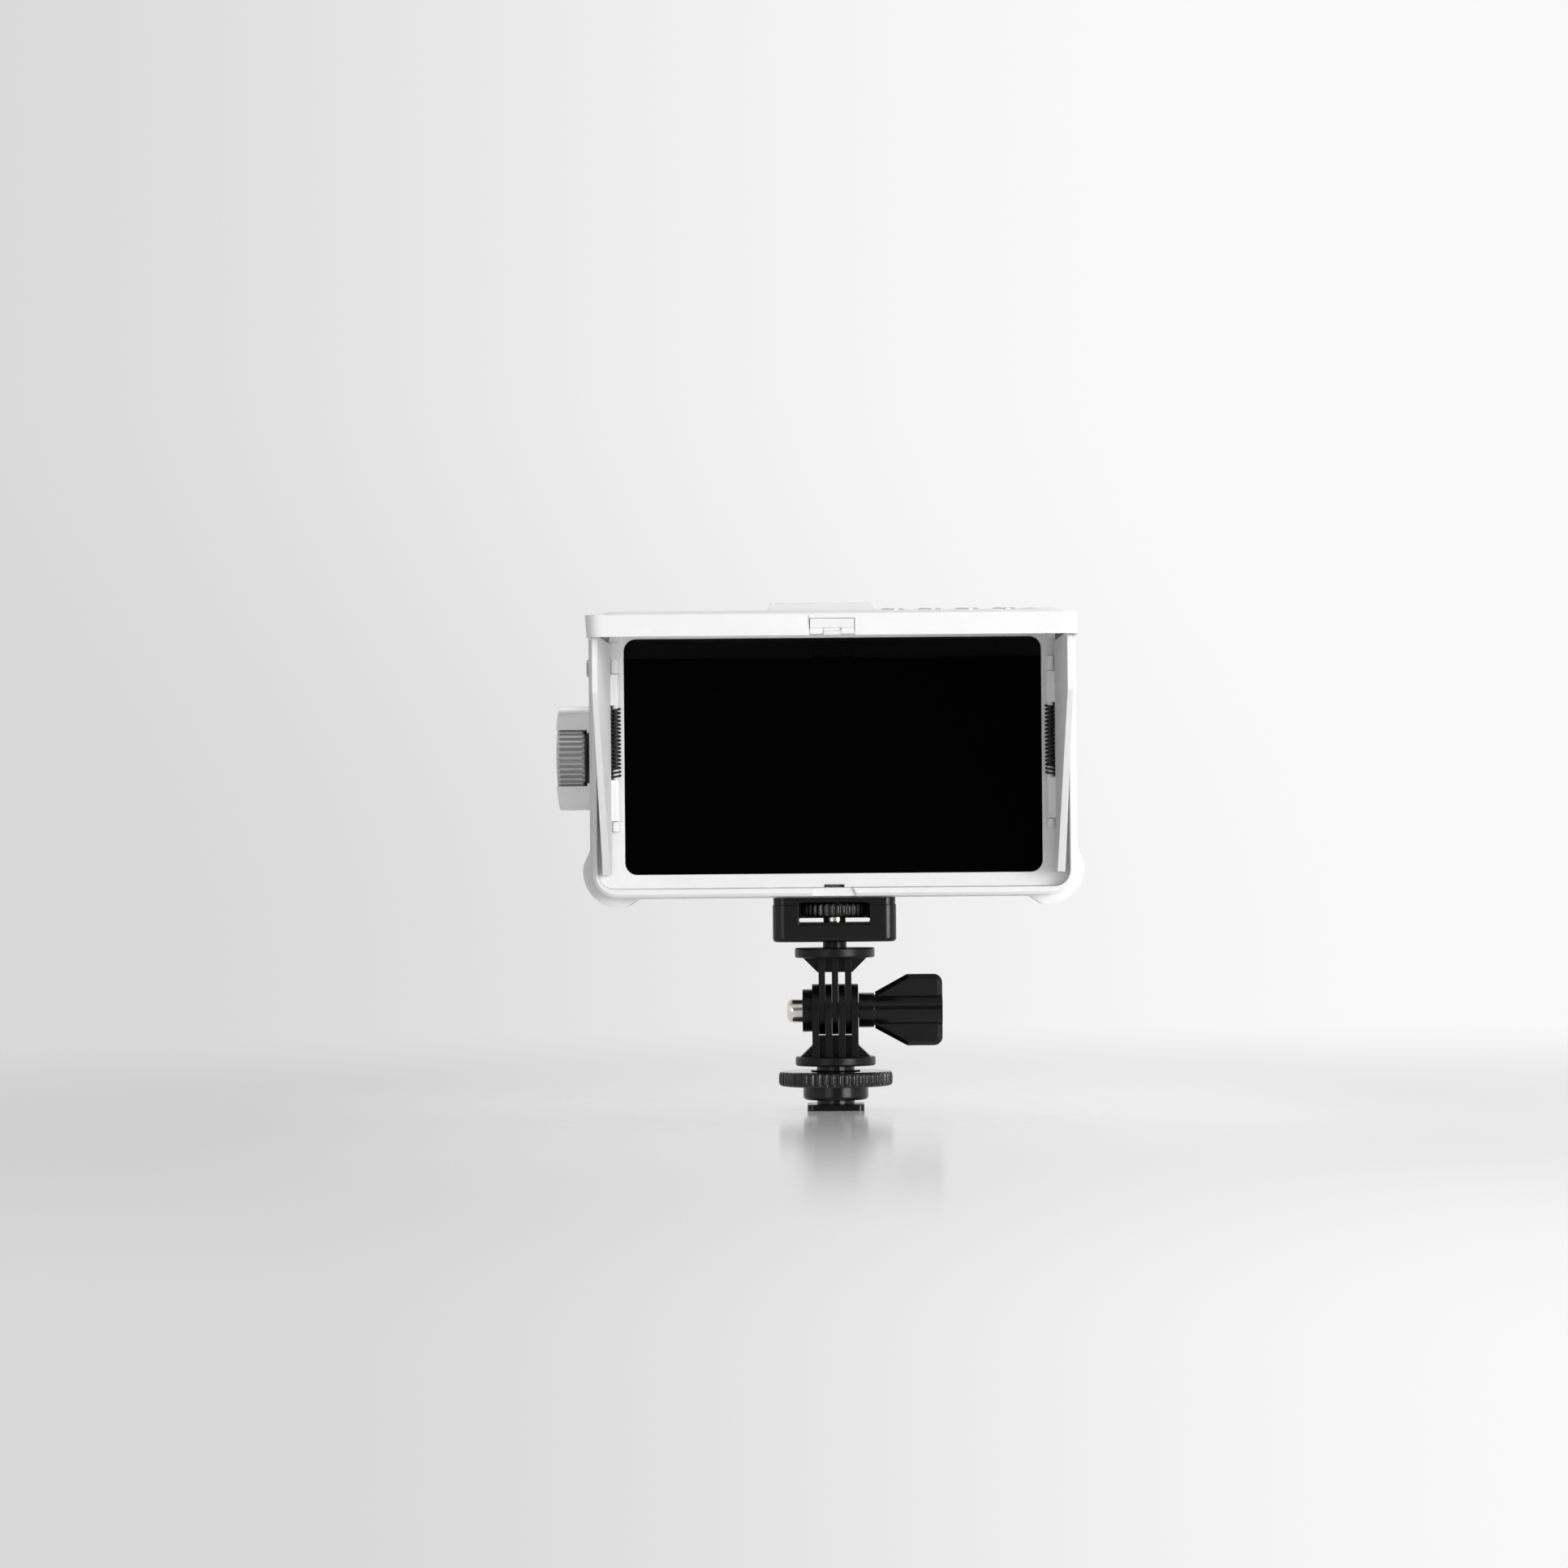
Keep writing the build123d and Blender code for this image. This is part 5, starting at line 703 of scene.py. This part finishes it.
def studio_finish():
    """Pale sweep: a glow that fans out from left to right, and near the object a lit, lightly
    polished floor that keeps the shadow; that floor's own colour follows the same fan,
    as painted light, lighter to the right."""
    f = Finish("studio_pale")
    x, y, z = f.axes(f.place())
    reach = f.larger(y + 1.6, 0.4)
    low = f.window(z, 0.5, 0.0, 0.0, 0.05)
    front = f.window(y, 0.0, -0.6, 0.0, 0.03)
    across = f.window(x / reach - low - front, -0.20, 0.07)
    glow = f.blend(across, grey(0.69), grey(0.945))
    visible = f.shown()
    away = f.root(x * x + y * y)
    far = f.window(away, 0.05, 0.8, 0.45, 1.0)
    lit = f.node("Emission", None, {"Color": glow, "Strength": 1.0})
    # the matt floor's colour is painted lighter to the right along the same fan: painted light
    matt = f.node("BsdfDiffuse", None, {"Color": f.blend(across, grey(0.84), grey(0.95))})
    polish = f.node("BsdfGlossy", None, {"Color": grey(0.98), "Roughness": 0.13})
    ground = f.node("MixShader", None, {0: far * visible, 1: matt, 2: lit})
    aside = f.window(x * x, 0.08**2, 0.20**2, 1.0, 0.0)
    shine = f.window(away, 0.02, 0.52, 0.88, 0.0) * aside * f.node("Fresnel", None, {"IOR": 1.45})
    made = f.node("MixShader", None, {0: shine * visible, 1: ground, 2: polish})
    f.node("OutputMaterial", None, {"Surface": made})
    return f.block


floor = sweep_floor()
floor.data.materials.append(studio_finish())


def area_lamp(name, place, target, width, height, power, mirrored=True):
    """A rectangular lamp at a place, facing a target; shiny surfaces may mirror it or not."""
    data = bpy.data.lights.new(name, "AREA")
    data.shape = "RECTANGLE"
    data.size = width
    data.size_y = height
    data.energy = power
    lamp = bpy.data.objects.new(name, data)
    lamp.location = place
    lamp.visible_glossy = mirrored
    lamp.rotation_euler = (Vector(target) - Vector(place)).to_track_quat("-Z", "Y").to_euler()
    bpy.context.scene.collection.objects.link(lamp)
    return lamp


area_lamp("key_right", (1.03, -1.24, 0.28), MIDDLE, 0.8, 0.55, 16.2)
area_lamp("fill_right", (0.52, -1.85, 0.25), MIDDLE, 0.6, 0.5, 4, mirrored=False)
area_lamp("fill_left", (-0.80, -1.75, 0.28), MIDDLE, 0.8, 0.6, 3.4)
area_lamp("top_soft", (0.2, 0.2, 1.6), MIDDLE, 1.6, 1.6, 8)
area_lamp("back_fill", (-0.9, 1.7, 0.9), MIDDLE, 1.0, 1.0, 12, mirrored=False)


def studio_room():
    """A pale room whose front end mirrors dark, as the unlit end of a studio does."""
    f = Finish("studio_room", bpy.data.worlds)
    x, y, z = f.axes(f.node("TexCoord", out="Generated"))
    seen = f.node("LightPath", out="Is Camera Ray")
    lit = f.larger(f.window(y, -0.97, -0.70), seen)
    colour = f.blend(f.shown(), grey(0.22), grey(0.80))
    colour = f.blend(lit, grey(0.03), colour)
    light = f.node("Background", None, {"Color": colour, "Strength": 1.0})
    f.node("OutputWorld", None, {"Surface": light})
    bpy.context.scene.world = f.block


studio_room()

# ================================================================== camera
camera_data = bpy.data.cameras.new("camera")
camera_data.sensor_width = SENSOR * 1000
camera_data.lens = FOCAL_PIXELS / IMAGE * SENSOR * 1000
camera_data.shift_x = (IMAGE / 2 - AXIS_PIXEL[0]) / IMAGE
camera_data.shift_y = (AXIS_PIXEL[1] - IMAGE / 2) / IMAGE
camera_data.clip_start = 0.05
camera_data.clip_end = 30
camera = bpy.data.objects.new("camera", camera_data)
level = Matrix.Rotation(math.pi / 2, 3, "X")
camera.rotation_euler = (level @ Matrix.Rotation(-ROLL, 3, "Z")).to_euler()
camera.location = EYE
bpy.context.scene.collection.objects.link(camera)
bpy.context.scene.camera = camera
bpy.context.scene.view_settings.view_transform = "Standard"
